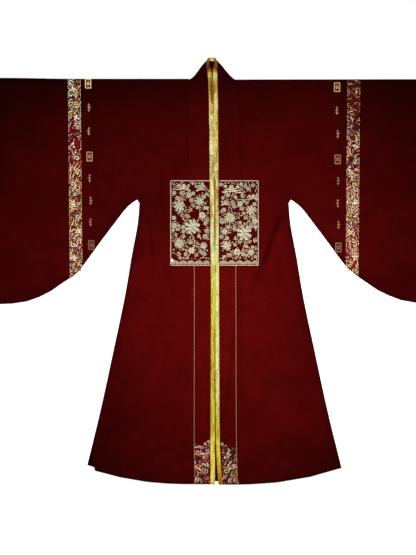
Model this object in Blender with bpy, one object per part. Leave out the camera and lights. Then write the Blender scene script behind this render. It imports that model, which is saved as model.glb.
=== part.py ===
"""A wide-sleeved open-front robe, laid flat on its back. Every cut piece is a wall of cloth.

Metres. X runs across the robe, Y from the hem up to the collar, Z up. The robe lies on z = 0 with
its front showing, and the origin is on that surface under the middle of its outline. In names,
left is -X and right is +X.
"""
import bmesh
import bpy
import numpy as np
from mathutils import Vector

# Overall sizes
LENGTH = 1.406             # hem to the collar's peak
SHOULDER_TO_HEM = 1.333
SPAN = 2.10                # cuff to cuff
HEM_Y = -LENGTH / 2
PEAK_Y = LENGTH / 2
SHOULDER_Y = HEM_Y + SHOULDER_TO_HEM

# Cloth and the gap at seams
CLOTH = 0.0015
GAP = 0.0003
TRIM = 0.0012              # thickness of what is sewn on top
FRONT_Z = CLOTH + GAP      # underside of the front layer
FRONT_TOP = FRONT_Z + CLOTH
TRIM_Z = FRONT_TOP + GAP   # underside of what lies on the front layer

# Hem: lowest at the middle, rising towards the side seams
HEM_HALF = 0.419
HEM_RISE = 0.056
HEM_POWER = 2.6
BACK_HEM_SHORTER = 0.010
CORNER_Y = HEM_Y + HEM_RISE
LEFT_CORNER_INSET = 0.028  # the left front's hem corner lies inside the back's
LEFT_CORNER_HEIGHT = 0.075

# Side seam, from the armpit down: drop below the shoulder line, half width
SIDE = (
    (0.396, 0.2525),
    (0.408, 0.2450),
    (0.422, 0.2460),
    (0.462, 0.2492),
    (0.581, 0.2706),
    (0.700, 0.2904),
    (0.898, 0.3317),
    (1.096, 0.3746),
    (1.277, 0.4190),
)
ARMPIT_Y = SHOULDER_Y - SIDE[0][0]
ARMPIT_HALF = SIDE[0][1]

# Underside of the sleeve, from the armpit out: half span, drop below the shoulder line
UNDERARM = (
    (0.2525, 0.396),
    (0.2805, 0.416),
    (0.3201, 0.465),
    (0.3779, 0.541),
    (0.4406, 0.620),
    (0.4934, 0.660),
    (0.5528, 0.700),
    (0.6323, 0.730),
    (0.7062, 0.738),
    (1.0500, 0.739),
)
SLEEVE_SEAM_TOP = 0.459    # half span of the seam under the brocade band
SLEEVE_SEAM_LOW = 0.453
BROCADE_WIDTH = 0.042

# Opening down the front: height, middle of the opening, half of its gap
OPENING = (
    (HEM_Y, 0.0079, 0.0055),
    (-0.640, 0.0056, 0.0031),
    (-0.561, 0.0040, 0.0012),
    (-0.010, 0.0033, 0.0003),
    (0.568, -0.0020, 0.0003),
    (0.630, -0.0040, 0.0005),
    (0.660, -0.0063, 0.0023),
    (0.693, -0.0076, 0.0099),
    (PEAK_Y, -0.0076, 0.0105),
)

# Front band: height, distance from the middle of the opening to its outer seam or edge
BAND = (
    (HEM_Y, 0.0726),
    (0.000, 0.0710),
    (0.300, 0.0855),
    (0.568, 0.0855),
    (SHOULDER_Y, 0.0775),
    (0.633, 0.0680),
    (0.643, 0.0578),
    (0.660, 0.0440),
    (0.673, 0.0347),
    (0.693, 0.0175),
    (PEAK_Y, 0.0110),
)
EDGING_WIDTH = 0.0145
EDGING_MARGIN = 0.0175     # flat part of the band under the edging
BACK_EDGING_HEIGHT = 0.012

# Chest square
BADGE_TOP = 0.298
BADGE_BOTTOM = 0.017
BADGE_MIDDLE = 0.0015
BADGE_HALF = 0.1454
BADGE_BORDER = 0.0044
BORDER_RAISED = 0.0005
BADGE_LINE = 0.1485        # the fronts are flat inside this line
FOLD_CLEARANCE = 0.001     # from that line to the foot of the long fold

PIPING_RADIUS = 0.0011
PIPING_INSET = 0.0030      # from the band's outer seam

# Long fold below each armpit: height on the robe, distance from the middle, how far it rises
FOLD_HALF_WIDTH = 0.010
FOLD_RIGHT = (
    (HEM_Y, 0.205, 0.0),
    (-0.380, 0.170, 0.0),
    (-0.220, 0.146, 0.0),
    (-0.096, 0.138, 0.001),
    (0.010, 0.160, 0.005),
    (0.102, 0.190, 0.007),
    (0.180, 0.216, 0.004),
    (ARMPIT_Y, 0.224, 0.0),
    (SHOULDER_Y, 0.205, 0.0),
)
FOLD_LEFT = (
    (HEM_Y, 0.220, 0.0),
    (-0.380, 0.200, 0.0),
    (-0.220, 0.190, 0.0),
    (-0.096, 0.188, 0.001),
    (0.010, 0.192, 0.003),
    (0.102, 0.206, 0.003),
    (0.180, 0.218, 0.002),
    (ARMPIT_Y, 0.224, 0.0),
    (SHOULDER_Y, 0.205, 0.0),
)

# Soft crease down each front band: height, distance from the middle of the opening, rise
CREASE_HALF_WIDTH = 0.0055
CREASE = (
    (HEM_Y, 0.030, 0.0),
    (-0.525, 0.030, 0.0),
    (-0.450, 0.033, 0.0015),
    (-0.350, 0.042, 0.0030),
    (-0.245, 0.053, 0.0015),
    (-0.150, 0.050, 0.0),
    (PEAK_Y, 0.050, 0.0),
)
CREASE_SHARE = {-1: 0.3, 1: 1.0}

# Air under the front layer: how far it swells in the skirt and in the sleeves
SKIRT_SWELL = 0.003
SLEEVE_SWELL = 0.0025

# Stations of the grids, as shares of their lengths
SKIRT_ROWS = (
    (0.0, 0.03, 0.06, 0.12, 0.19, 0.26, 0.33, 0.39, 0.45, 0.51, 0.57, 0.62, 0.66)
    + (0.7, 0.75, 0.79, 0.83, 0.87, 0.91, 0.94, 0.965, 0.987)
)
CHEST_ROWS = (0.0, 0.16, 0.34, 0.52, 0.7, 0.847, 1.0)
ROOT_COLUMNS = (0.03, 0.08, 0.15, 0.24, 0.36, 0.5, 0.64, 0.78, 0.89, 1.0)
SLEEVE_COLUMNS = (0.0, 0.045, 0.09, 0.14, 0.2, 0.27, 0.35, 0.44, 0.56, 0.7, 0.85, 1.0)
SLEEVE_ROWS = (0.0, 0.12, 0.3, 0.5, 0.7, 0.88, 1.0)
HEM_STEPS = 12
BROCADE_STEPS = 6
COLLAR_STOPS = 7
SETTLING_STEPS = 5
SHARP_ANGLE = 35

RED = (0.095, 0.006, 0.008)
GOLD = (0.62, 0.46, 0.10)
BROCADE = (0.42, 0.26, 0.17)

CLOTH_LOOK = (RED, 0.85, 0.0)
GOLD_LOOK = (GOLD, 0.42, 0.45)
BROCADE_LOOK = (BROCADE, 0.5, 0.3)


def column(table, index):
    """One named column of a table, as an array."""
    return np.array([row[index] for row in table])


def read(table, at, index=1):
    """The value at a height or a span, along straight lines between the table's rows."""
    return float(np.interp(at, column(table, 0), column(table, index)))


def read_smooth(table, at):
    """The same for an outline, along a curve that never overshoots the rows it passes through."""
    x = column(table, 0)
    y = column(table, 1)
    slopes = np.diff(y) / np.diff(x)
    tangents = np.zeros(len(x))
    tangents[0] = slopes[0]
    tangents[-1] = slopes[-1]
    for k in range(1, len(x) - 1):
        if slopes[k - 1] * slopes[k] > 0:
            tangents[k] = 2 * slopes[k - 1] * slopes[k] / (slopes[k - 1] + slopes[k])
    at = min(max(at, x[0]), x[-1])
    k = min(int(np.searchsorted(x, at, side="right")) - 1, len(x) - 2)
    step = x[k + 1] - x[k]
    t = (at - x[k]) / step
    start = (1 + 2 * t) * (1 - t) ** 2 * y[k] + t * (1 - t) ** 2 * step * tangents[k]
    end = t * t * (3 - 2 * t) * y[k + 1] + t * t * (t - 1) * step * tangents[k + 1]
    return float(start + end)


def side_half(y):
    """Half width at the side seam, below the armpit."""
    return read_smooth(SIDE, SHOULDER_Y - y)


def underarm_y(half_span):
    """Height of the sleeve's lower edge."""
    return SHOULDER_Y - read_smooth(UNDERARM, half_span)


def hem_y(x):
    """Height of the front hem."""
    return HEM_Y + HEM_RISE * (abs(x) / HEM_HALF) ** HEM_POWER


def opening_edge(y, side):
    """Where the front band of that side ends, at the opening."""
    return read(OPENING, y) + side * read(OPENING, y, 2)


def band_seam(y, side):
    """The front band's outer seam, and its outer edge above the shoulder line."""
    return read(OPENING, y) + side * read(BAND, y)


def sleeve_seam(y):
    """Half span of the seam between the sleeve's root and the outer sleeve."""
    low = underarm_y(SLEEVE_SEAM_LOW)
    return float(np.interp(y, (low, SHOULDER_Y), (SLEEVE_SEAM_LOW, SLEEVE_SEAM_TOP)))


def mix(a, b, share):
    return a + (b - a) * share


def sleeve_point(station, share, outside):
    """Half span and height of a point of a sleeve, outside its seam or in its root.

    The seam slants, so the point is settled in a few steps.
    """
    top = SHOULDER_Y - CLOTH
    lift = CLOTH if outside else 0.0
    y = top
    for _ in range(SETTLING_STEPS):
        if outside:
            half_span = mix(sleeve_seam(y) + GAP / 2, SPAN / 2, station)
        else:
            half_span = mix(ARMPIT_HALF, sleeve_seam(y) - GAP / 2, station)
        y = mix(underarm_y(half_span) + lift, top, share)
    return half_span, y


def swell(share_x, share_y):
    """A soft mound over a panel, nought at its edges."""
    return np.sin(np.pi * share_x) * np.sin(np.pi * share_y)


def collection(name):
    group = bpy.data.collections.new(name)
    bpy.context.scene.collection.children.link(group)
    return group


def material(name, look):
    colour, roughness, metallic = look
    made = bpy.data.materials.new(name)
    made.use_nodes = True
    shader = made.node_tree.nodes["Principled BSDF"]
    shader.inputs["Base Color"].default_value = (*colour, 1.0)
    shader.inputs["Roughness"].default_value = roughness
    shader.inputs["Metallic"].default_value = metallic
    return made


def place(name, data, look):
    """Puts a finished mesh or curve in the robe's collection, with its own material."""
    data.materials.append(material(name + "_finish", look))
    piece = bpy.data.objects.new(name, data)
    ROBE.objects.link(piece)
    return piece


def wall(name, rows, look, ring=False):
    """A wall of cloth. Each row is its inner points and the shift from them to the outer ones.

    Neighbouring rows are joined as far as both have points, and the last one to the first in a
    ring. The outer surface is the inner one extruded, with each row moved by its own shift.
    """
    bm = bmesh.new()
    layers = []
    shifts = {}
    for points, shift in rows:
        verts = [bm.verts.new(point) for point in points]
        layers.append(verts)
        for vert in verts:
            shifts[vert.co.copy().freeze()] = Vector(shift)
    pairs = list(zip(layers, layers[1:]))
    if ring:
        pairs.append((layers[-1], layers[0]))
    for low, high in pairs:
        for k in range(min(len(low), len(high)) - 1):
            bm.faces.new((low[k], low[k + 1], high[k + 1], high[k]))
    made = bmesh.ops.extrude_face_region(bm, geom=bm.faces[:])
    for item in made["geom"]:
        if isinstance(item, bmesh.types.BMVert):
            item.co += shifts[item.co.copy().freeze()]
    bmesh.ops.recalc_face_normals(bm, faces=bm.faces[:])
    mesh = bpy.data.meshes.new(name)
    bm.to_mesh(mesh)
    bm.free()
    mesh.shade_smooth()
    mesh.set_sharp_from_angle(angle=np.radians(SHARP_ANGLE))
    return place(name, mesh, look)


def flat_piece(name, outline, z, thickness, look):
    """A flat piece cut to an outline, as a filled curve extruded by half its thickness."""
    curve = bpy.data.curves.new(name, "CURVE")
    curve.dimensions = "2D"
    curve.fill_mode = "BOTH"
    curve.extrude = thickness / 2
    spline = curve.splines.new("POLY")
    spline.points.add(len(outline) - 1)
    for point, (x, y) in zip(spline.points, outline):
        point.co = (x, y, 0.0, 1.0)
    spline.use_cyclic_u = True
    piece = place(name, curve, look)
    piece.location.z = z + thickness / 2
    return piece


def fold_rise(table, y, offset):
    """How far the cloth rises beside a fold's crest, at an offset from it."""
    share = max(0.0, 1.0 - abs(offset) / FOLD_HALF_WIDTH)
    return read(table, y, 2) * share * share * (3 - 2 * share)


def front_columns(y, side):
    """Distances from the middle for the columns of a front, from the band's seam to the side.

    Five of them follow the long fold, so that its crest and its feet are real lines.
    """
    table = FOLD_RIGHT if side > 0 else FOLD_LEFT
    seam = side * band_seam(y, side) + GAP / 2
    crest = read(table, y)
    outer = side_half(y) if y < ARMPIT_Y else ARMPIT_HALF
    above_corner = max(y - CORNER_Y, 0.0) / LEFT_CORNER_HEIGHT
    if side < 0 and above_corner < 1:
        outer -= LEFT_CORNER_INSET * (1 - above_corner) ** 2
    line = min(BADGE_LINE, crest - FOLD_HALF_WIDTH - FOLD_CLEARANCE)
    feet = [crest + share * FOLD_HALF_WIDTH for share in (-1, -0.5, 0, 0.5, 1)]
    middle = mix(feet[-1], outer, 0.5)
    return [seam, mix(seam, line, 0.5), line, *feet, middle, outer]


def front_height(y, side, distance, share_x):
    """Underside of the front layer below the armpit: fold and swell over the flat level."""
    table = FOLD_RIGHT if side > 0 else FOLD_LEFT
    rise = fold_rise(table, y, distance - read(table, y))
    if y < BADGE_BOTTOM:
        share_y = (BADGE_BOTTOM - y) / (BADGE_BOTTOM - CORNER_Y)
        rise += SKIRT_SWELL * swell(share_x, min(share_y, 1.0))
    return FRONT_Z + rise


def skirt_row(share, side):
    """One row of a front between the hem and the armpit."""
    level = mix(CORNER_Y, ARMPIT_Y, share)
    points = []
    columns = front_columns(level, side)
    for k in range(len(columns)):
        y = level + (hem_y(columns[k]) - CORNER_Y) * (1 - share)
        distance = front_columns(y, side)[k]
        share_x = (distance - columns[0]) / (columns[-1] - columns[0])
        points.append((side * distance, y, front_height(y, side, distance, share_x)))
    return points


def chest_row(share, side):
    """One row of a front and of its sleeve's root, between the armpit and the shoulder fold."""
    top = SHOULDER_Y - CLOTH
    y = mix(ARMPIT_Y, top, share)
    points = [(side * distance, y, FRONT_Z) for distance in front_columns(y, side)]
    for station in ROOT_COLUMNS:
        half_span, height = sleeve_point(station, share, False)
        points.append((side * half_span, height, FRONT_Z))
    return points


def make_front(name, side):
    """A front with its sleeve's root. Its top edge turns down over the shoulder."""
    up = (0, 0, CLOTH)
    rows = [(skirt_row(share, side), up) for share in SKIRT_ROWS]
    rows += [(chest_row(share, side), up) for share in CHEST_ROWS[:-1]]
    top = chest_row(CHEST_ROWS[-1], side)
    rows.append((top, (0, CLOTH, CLOTH)))
    rows.append(([(x, y, 0.0) for x, y, z in top], (0, CLOTH, 0)))
    return wall(name, rows, CLOTH_LOOK)


def back_outline():
    """The back's outline, anticlockwise from the middle of its hem."""
    corner = side_half(CORNER_Y + BACK_HEM_SHORTER)
    right = []
    for k in range(HEM_STEPS + 1):
        x = corner * k / HEM_STEPS
        right.append((x, hem_y(x) + BACK_HEM_SHORTER))
    for share in SKIRT_ROWS[1:]:
        y = mix(CORNER_Y, ARMPIT_Y, share)
        right.append((side_half(y), y))
    right.append((ARMPIT_HALF, ARMPIT_Y))
    right += [sleeve_point(station, 0.0, False) for station in ROOT_COLUMNS]
    right.append((SLEEVE_SEAM_TOP - GAP / 2, SHOULDER_Y - CLOTH - GAP))
    left = [(-x, y) for x, y in reversed(right[1:])]
    return right + left


def make_sleeve(name, side):
    """The outer sleeve: a flat tube, folded at the shoulder line and sewn along its lower edge."""
    rows = []
    for share in (0.0, 1.0):
        points = []
        for station in SLEEVE_COLUMNS:
            half_span, y = sleeve_point(station, share, True)
            points.append((side * half_span, y, CLOTH))
        rows.append((points, (0, (2 * share - 1) * CLOTH, -CLOTH)))
    flat_until = SLEEVE_COLUMNS[1]
    for share in reversed(SLEEVE_ROWS):
        points = []
        for station in SLEEVE_COLUMNS:
            half_span, y = sleeve_point(station, share, True)
            share_x = max(station - flat_until, 0.0) / (1 - flat_until)
            rise = SLEEVE_SWELL * swell(share_x, share)
            points.append((side * half_span, y, FRONT_Z + rise))
        outward = {0.0: -CLOTH, 1.0: CLOTH}.get(share, 0.0)
        rows.append((points, (0, outward, CLOTH)))
    return wall(name, rows, CLOTH_LOOK, ring=True)


def band_rows(side):
    """Heights of a band's rows: those of the front that it is sewn to, then the collar's."""
    heights = [skirt_row(share, side)[0][1] for share in SKIRT_ROWS]
    heights += [chest_row(share, side)[0][1] for share in CHEST_ROWS]
    heights += [height for height, _ in BAND if height > SHOULDER_Y]
    return heights


def follow_hem(points, heights, y):
    """On a band's lowest row, each point goes down to the hem's own curve."""
    if y > heights[0]:
        return points
    return [(x, hem_y(x), z) for x, _, z in points]


def make_band(name, side):
    """The front band, from the hem up over the shoulder line to the collar's peak."""
    rows = []
    heights = band_rows(side)
    for y in heights:
        middle = read(OPENING, y)
        inner = side * (opening_edge(y, side) - middle)
        outer = read(BAND, y) - (GAP / 2 if y < SHOULDER_Y else 0.0)
        crest = read(CREASE, y)
        stops = [inner, inner + EDGING_MARGIN]
        stops += [crest - CREASE_HALF_WIDTH, crest, crest + CREASE_HALF_WIDTH]
        stops += [outer - 2 * PIPING_INSET, outer]
        if y > SHOULDER_Y:
            stops = list(np.linspace(inner, outer, COLLAR_STOPS))
        rise = read(CREASE, y, 2) * CREASE_SHARE[side]
        rises = [0, 0, rise / 2, rise, rise / 2, 0, 0]
        points = [(middle + side * s, y, FRONT_Z + r) for s, r in zip(stops, rises)]
        rows.append((follow_hem(points, heights, y), (0, 0, CLOTH)))
    return wall(name, rows, CLOTH_LOOK)


def make_edging(name, side):
    """The gold edging on the band's inner margin."""
    rows = []
    heights = band_rows(side)
    for y in heights:
        inner = opening_edge(y, side)
        room = abs(band_seam(y, side) - inner)
        width = min(EDGING_WIDTH, room)
        points = [(inner + side * width * k / 2, y, TRIM_Z) for k in range(3)]
        rows.append((follow_hem(points, heights, y), (0, 0, TRIM)))
    return wall(name, rows, GOLD_LOOK)


def make_collar():
    """The band behind the neck: the lower layer of the collar's peak, and its edging."""
    heights = [SHOULDER_Y - CLOTH] + [height for height, _ in BAND if height > SHOULDER_Y]
    right = [(band_seam(y, 1) - GAP, y) for y in heights]
    left = [(band_seam(y, -1) + GAP, y) for y in reversed(heights)]
    flat_piece("collar_back", right + left, 0.0, CLOTH, CLOTH_LOOK)
    low = PEAK_Y - BACK_EDGING_HEIGHT
    outline = [(opening_edge(y, 1) - GAP, y) for y in (low, PEAK_Y)]
    outline += [(opening_edge(y, -1) + GAP, y) for y in (PEAK_Y, low)]
    flat_piece("edging_back", outline, CLOTH + GAP, TRIM, GOLD_LOOK)


def make_badge(name, side):
    """Half of the chest square, with its raised border, from the edging to its outer edge."""
    outer = BADGE_MIDDLE + side * BADGE_HALF
    levels = (BADGE_BOTTOM, BADGE_BOTTOM + BADGE_BORDER, BADGE_TOP - BADGE_BORDER, BADGE_TOP)
    bm = bmesh.new()
    grid = []
    for y in levels:
        inner = opening_edge(y, side) + side * (EDGING_WIDTH + GAP)
        stops = (inner, outer - side * BADGE_BORDER, outer)
        grid.append([bm.verts.new((x, y, TRIM_Z)) for x in stops])
    for low, high in zip(grid, grid[1:]):
        for k in range(2):
            bm.faces.new((low[k], low[k + 1], high[k + 1], high[k]))
    made = bmesh.ops.extrude_face_region(bm, geom=bm.faces[:])
    tops = [item for item in made["geom"] if isinstance(item, bmesh.types.BMFace)]
    for item in made["geom"]:
        if isinstance(item, bmesh.types.BMVert):
            item.co.z += TRIM
    middle = [face for face in tops if is_badge_field(face, side, outer)]
    rim = [face for face in tops if face not in middle]
    raised = bmesh.ops.extrude_face_region(bm, geom=rim)
    for item in raised["geom"]:
        if isinstance(item, bmesh.types.BMVert):
            item.co.z += BORDER_RAISED
    bmesh.ops.delete(bm, geom=rim, context="FACES_ONLY")
    bmesh.ops.recalc_face_normals(bm, faces=bm.faces[:])
    mesh = bpy.data.meshes.new(name)
    bm.to_mesh(mesh)
    bm.free()
    return place(name, mesh, BROCADE_LOOK)


def is_badge_field(face, side, outer):
    """Whether a top face of the chest square lies inside its border."""
    centre = face.calc_center_median()
    inside_x = side * (outer - centre.x) > BADGE_BORDER
    inside_y = BADGE_BOTTOM + BADGE_BORDER < centre.y < BADGE_TOP - BADGE_BORDER
    return inside_x and inside_y


def make_brocade(name, side):
    """The brocade band over a sleeve's seam, cut to the shoulder fold and the lower edge."""
    half = BROCADE_WIDTH / 2
    outline = [(SLEEVE_SEAM_TOP + half, SHOULDER_Y), (SLEEVE_SEAM_TOP - half, SHOULDER_Y)]
    for k in range(BROCADE_STEPS + 1):
        x = SLEEVE_SEAM_LOW + mix(-half, half, k / BROCADE_STEPS)
        outline.append((x, underarm_y(x)))
    outline = [(side * x, y) for x, y in outline]
    return flat_piece(name, outline, TRIM_Z, TRIM, BROCADE_LOOK)


def make_piping(name, side):
    """The gold cord beside the band's outer seam, from the chest square to the hem."""
    curve = bpy.data.curves.new(name, "CURVE")
    curve.dimensions = "3D"
    curve.bevel_depth = PIPING_RADIUS
    curve.bevel_resolution = 1
    curve.use_fill_caps = True
    heights = [y for y in band_rows(side) if y < BADGE_BOTTOM - 2 * PIPING_RADIUS]
    heights.append(BADGE_BOTTOM - GAP)
    spline = curve.splines.new("POLY")
    spline.points.add(len(heights) - 1)
    for point, y in zip(spline.points, heights):
        x = band_seam(y, side) - side * PIPING_INSET
        point.co = (x, y, TRIM_Z + PIPING_RADIUS, 1.0)
    return place(name, curve, GOLD_LOOK)


for leftover in list(bpy.data.objects):
    bpy.data.objects.remove(leftover, do_unlink=True)

ROBE = collection("robe")
flat_piece("back", back_outline(), 0.0, CLOTH, CLOTH_LOOK)
make_collar()
for label, hand in (("left", -1), ("right", 1)):
    make_front("front_" + label, hand)
    make_sleeve("sleeve_" + label, hand)
    make_band("band_" + label, hand)
    make_edging("edging_" + label, hand)
    make_badge("badge_" + label, hand)
    make_brocade("brocade_" + label, hand)
    make_piping("piping_" + label, hand)
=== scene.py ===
"""The looks of a wide-sleeved open-front robe, laid flat on a pale floor.

Metres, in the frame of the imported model: +X to the picture's right, +Y towards the collar, +Z up
out of the robe's front. "left" and "right" in names are -X and +X.
"""
import math
import random

import bpy
import numpy as np
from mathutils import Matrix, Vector, noise
from mathutils.bvhtree import BVHTree
from mathutils.geometry import delaunay_2d_cdt


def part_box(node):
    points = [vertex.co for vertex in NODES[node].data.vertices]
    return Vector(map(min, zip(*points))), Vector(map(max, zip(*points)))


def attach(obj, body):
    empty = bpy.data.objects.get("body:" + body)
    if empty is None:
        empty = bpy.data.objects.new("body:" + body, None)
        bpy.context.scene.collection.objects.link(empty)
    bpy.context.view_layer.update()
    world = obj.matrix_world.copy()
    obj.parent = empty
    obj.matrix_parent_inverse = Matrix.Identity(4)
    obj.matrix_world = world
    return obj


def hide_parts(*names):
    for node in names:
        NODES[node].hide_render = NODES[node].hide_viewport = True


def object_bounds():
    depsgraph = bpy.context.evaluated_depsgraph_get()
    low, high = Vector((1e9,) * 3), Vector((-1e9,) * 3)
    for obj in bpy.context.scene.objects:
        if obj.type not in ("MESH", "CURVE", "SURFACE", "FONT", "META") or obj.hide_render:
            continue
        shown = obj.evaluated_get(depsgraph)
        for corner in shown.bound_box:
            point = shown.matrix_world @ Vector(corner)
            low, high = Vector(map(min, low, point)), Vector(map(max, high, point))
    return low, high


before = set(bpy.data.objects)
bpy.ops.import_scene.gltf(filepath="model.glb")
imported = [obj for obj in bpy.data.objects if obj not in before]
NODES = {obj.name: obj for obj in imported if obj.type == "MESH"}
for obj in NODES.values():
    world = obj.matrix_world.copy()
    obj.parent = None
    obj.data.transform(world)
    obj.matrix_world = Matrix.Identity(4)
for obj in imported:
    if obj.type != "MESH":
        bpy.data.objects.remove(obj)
CAD_LOW, CAD_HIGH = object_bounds()
SIDES = (("left", -1), ("right", 1))

# Levels and thicknesses of the layers
CLOTH = 0.0012
FRONT_TOP = 0.0033
TRIM_GAP = 0.0002
TRIM = 0.0008
ROUNDING = 0.0003

SHOULDER_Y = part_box("front_left")[1].y
HEM_Y = CAD_LOW.y
HEM_HALF = 0.419           # from the middle of the skirt out to its corners
HEM_RISE = 0.056           # of the hem, from its middle to its corners
HEM_POWER = 2.6            # how suddenly the hem rises
SKIRT_REACH = 0.43         # no part of the skirt lies farther out

# Gentle unevenness of the laid cloth: height, size of its features
SWELLS = ((0.0010, 0.16), (0.0005, 0.06), (0.00012, 0.018))

# Creases: start x, y, end x, y, half width, height, sideways bend
CREASES = (
    (-0.088, 0.560, -0.087, 0.305, 0.0030, 0.0008, 0.000),
    (-0.134, 0.500, -0.136, 0.310, 0.0030, 0.0004, 0.000),
    (0.086, 0.560, 0.088, 0.300, 0.0030, 0.0008, 0.000),
    (0.050, 0.615, 0.048, 0.520, 0.0030, 0.0007, 0.001),
    (0.100, 0.560, 0.106, 0.320, 0.0030, 0.0005, 0.001),
    (0.172, 0.150, 0.136, -0.020, 0.0120, 0.0020, 0.006),
    (0.152, 0.000, 0.128, -0.110, 0.0090, 0.0016, 0.004),
    (-0.196, 0.160, -0.170, -0.030, 0.0110, 0.0016, -0.006),
    (-0.230, 0.215, -0.150, 0.330, 0.0140, 0.0014, 0.012),
    (0.230, 0.215, 0.170, 0.340, 0.0130, 0.0015, -0.010),
    (-0.240, 0.230, -0.330, 0.420, 0.0150, 0.0012, 0.015),
    (0.245, 0.235, 0.350, 0.400, 0.0160, 0.0012, -0.012),
    (-0.260, -0.150, -0.310, -0.560, 0.0180, 0.0018, 0.012),
    (-0.170, -0.110, -0.205, -0.470, 0.0160, 0.0015, -0.010),
    (0.190, -0.190, 0.235, -0.600, 0.0170, 0.0017, 0.014),
    (0.285, -0.250, 0.340, -0.520, 0.0150, 0.0014, -0.008),
    (0.150, -0.330, 0.170, -0.640, 0.0140, 0.0012, 0.006),
    (-0.120, -0.420, -0.126, -0.660, 0.0120, 0.0010, 0.004),
    (-0.520, 0.580, -0.600, 0.100, 0.0200, 0.0016, 0.020),
    (-0.680, 0.520, -0.640, -0.020, 0.0220, 0.0017, -0.016),
    (-0.900, 0.560, -0.840, 0.050, 0.0220, 0.0019, 0.018),
    (-0.980, 0.300, -0.930, -0.060, 0.0160, 0.0014, 0.010),
    (0.540, 0.570, 0.590, 0.090, 0.0200, 0.0016, -0.018),
    (0.700, 0.540, 0.655, 0.010, 0.0210, 0.0016, 0.016),
    (0.860, 0.480, 0.930, 0.020, 0.0230, 0.0019, -0.020),
    (1.000, 0.400, 0.960, -0.040, 0.0150, 0.0014, -0.008),
)

# Painted shade (below 0) and painted highlight (above 0) in streaks, mostly along creases and folds; those
# near the middle line darken lines down the gold edging: start x, y, end x, y, half width, amount, bend
PAINTED_STREAKS = (
    (0.224, 0.198, 0.138, -0.046, 0.0074, -0.56, -0.003),
    (0.150, 0.020, 0.100, -0.150, 0.0120, -0.16, 0.000),
    (0.222, 0.130, 0.160, -0.030, 0.0140, 0.16, 0.004),
    (-0.222, 0.186, -0.196, 0.020, 0.0050, -0.30, 0.004),
    (-0.236, 0.170, -0.214, 0.040, 0.0100, 0.12, 0.004),
    (0.069, -0.165, 0.028, -0.525, 0.0055, -0.34, 0.002),
    (0.086, 0.010, 0.092, -0.560, 0.0120, -0.14, 0.000),
    (-0.086, 0.565, -0.086, 0.300, 0.0022, -0.30, 0.000),
    (-0.130, 0.560, -0.128, 0.300, 0.0080, -0.12, 0.000),
    (0.086, 0.565, 0.088, 0.300, 0.0022, -0.22, 0.000),
    (-0.400, 0.600, -0.385, 0.160, 0.0220, -0.13, 0.000),
    (-0.300, -0.400, -0.390, -0.640, 0.0250, -0.14, 0.000),
    (0.250, -0.330, 0.350, -0.560, 0.0300, -0.10, 0.010),
    (0.300, 0.520, 0.180, 0.440, 0.0300, 0.12, 0.000),
    (-0.180, -0.250, -0.230, -0.560, 0.0300, 0.10, 0.010),
    (-0.0080, 0.628, -0.0082, 0.540, 0.0044, -0.60, 0.000),
    (0.0030, 0.320, 0.0034, 0.060, 0.0024, -0.66, 0.000),
    (0.0140, 0.520, 0.0130, 0.380, 0.0022, -0.30, 0.000),
    (-0.0110, 0.360, -0.0100, 0.120, 0.0016, -0.30, 0.000),
)
# Painted broad shade (below 0) and painted light (above 0) on the cloth, and on the collar's gold a
# painted highlight on its fold with darker and paler patches below it: place, reach, amount
PAINTED_LIGHT_AND_SHADE = (
    ((-0.510, 0.630), (0.450, 0.055), -0.22),
    ((-0.110, 0.620), (0.200, 0.060), -0.20),
    ((0.614, 0.610), (0.160, 0.100), -0.36),
    ((0.415, 0.625), (0.050, 0.040), -0.20),
    ((-0.244, 0.185), (0.200, 0.130), -0.26),
    ((0.185, 0.168), (0.070, 0.130), -0.15),
    ((0.300, -0.162), (0.110, 0.200), -0.25),
    ((0.574, -0.046), (0.150, 0.060), -0.25),
    ((-0.343, -0.490), (0.080, 0.160), -0.25),
    ((0.366, -0.640), (0.090, 0.070), -0.26),
    ((-0.560, 0.400), (0.200, 0.110), 0.16),
    ((0.330, 0.510), (0.090, 0.070), 0.20),
    ((0.046, 0.416), (0.034, 0.110), -0.14),
    # On the collar's gold: a painted highlight on its fold, then darker and paler patches
    ((-0.006, 0.694), (0.007, 0.006), 1.60),
    ((-0.021, 0.673), (0.010, 0.014), -1.15),
    ((0.009, 0.675), (0.010, 0.017), -1.15),
    ((-0.015, 0.646), (0.009, 0.010), 0.45),
    ((0.005, 0.644), (0.009, 0.012), 0.45),
    ((-0.200, -0.590), (0.060, 0.050), 0.12),
    ((0.220, -0.500), (0.090, 0.060), 0.10),
    ((0.050, 0.612), (0.040, 0.030), -0.26),
    ((-0.350, -0.635), (0.065, 0.050), -0.28),
    ((0.145, 0.455), (0.032, 0.055), 0.26),
    ((-0.610, 0.560), (0.085, 0.060), -0.20),
    ((0.145, -0.020), (0.024, 0.032), -0.20),
    ((-0.172, 0.257), (0.024, 0.065), -0.20),
    ((-0.210, -0.490), (0.040, 0.060), -0.20),
    ((-0.700, 0.170), (0.050, 0.070), 0.24),
    ((0.385, 0.495), (0.030, 0.040), 0.24),
    ((-0.305, 0.575), (0.055, 0.030), -0.20),
)
BAND_TONE = 1.10           # the front bands catch a little more light than the panels beside them
# Painted shade along the cloth's outer edges: its reach and its depth
EDGE_REACH = 0.030         # how far in from its edges the cloth darkens
EDGE_PAINTED_DARKNESS = 0.55
TURN_UP = (0.020, 0.0004)  # width and height of the turned hem and cuffs

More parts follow.
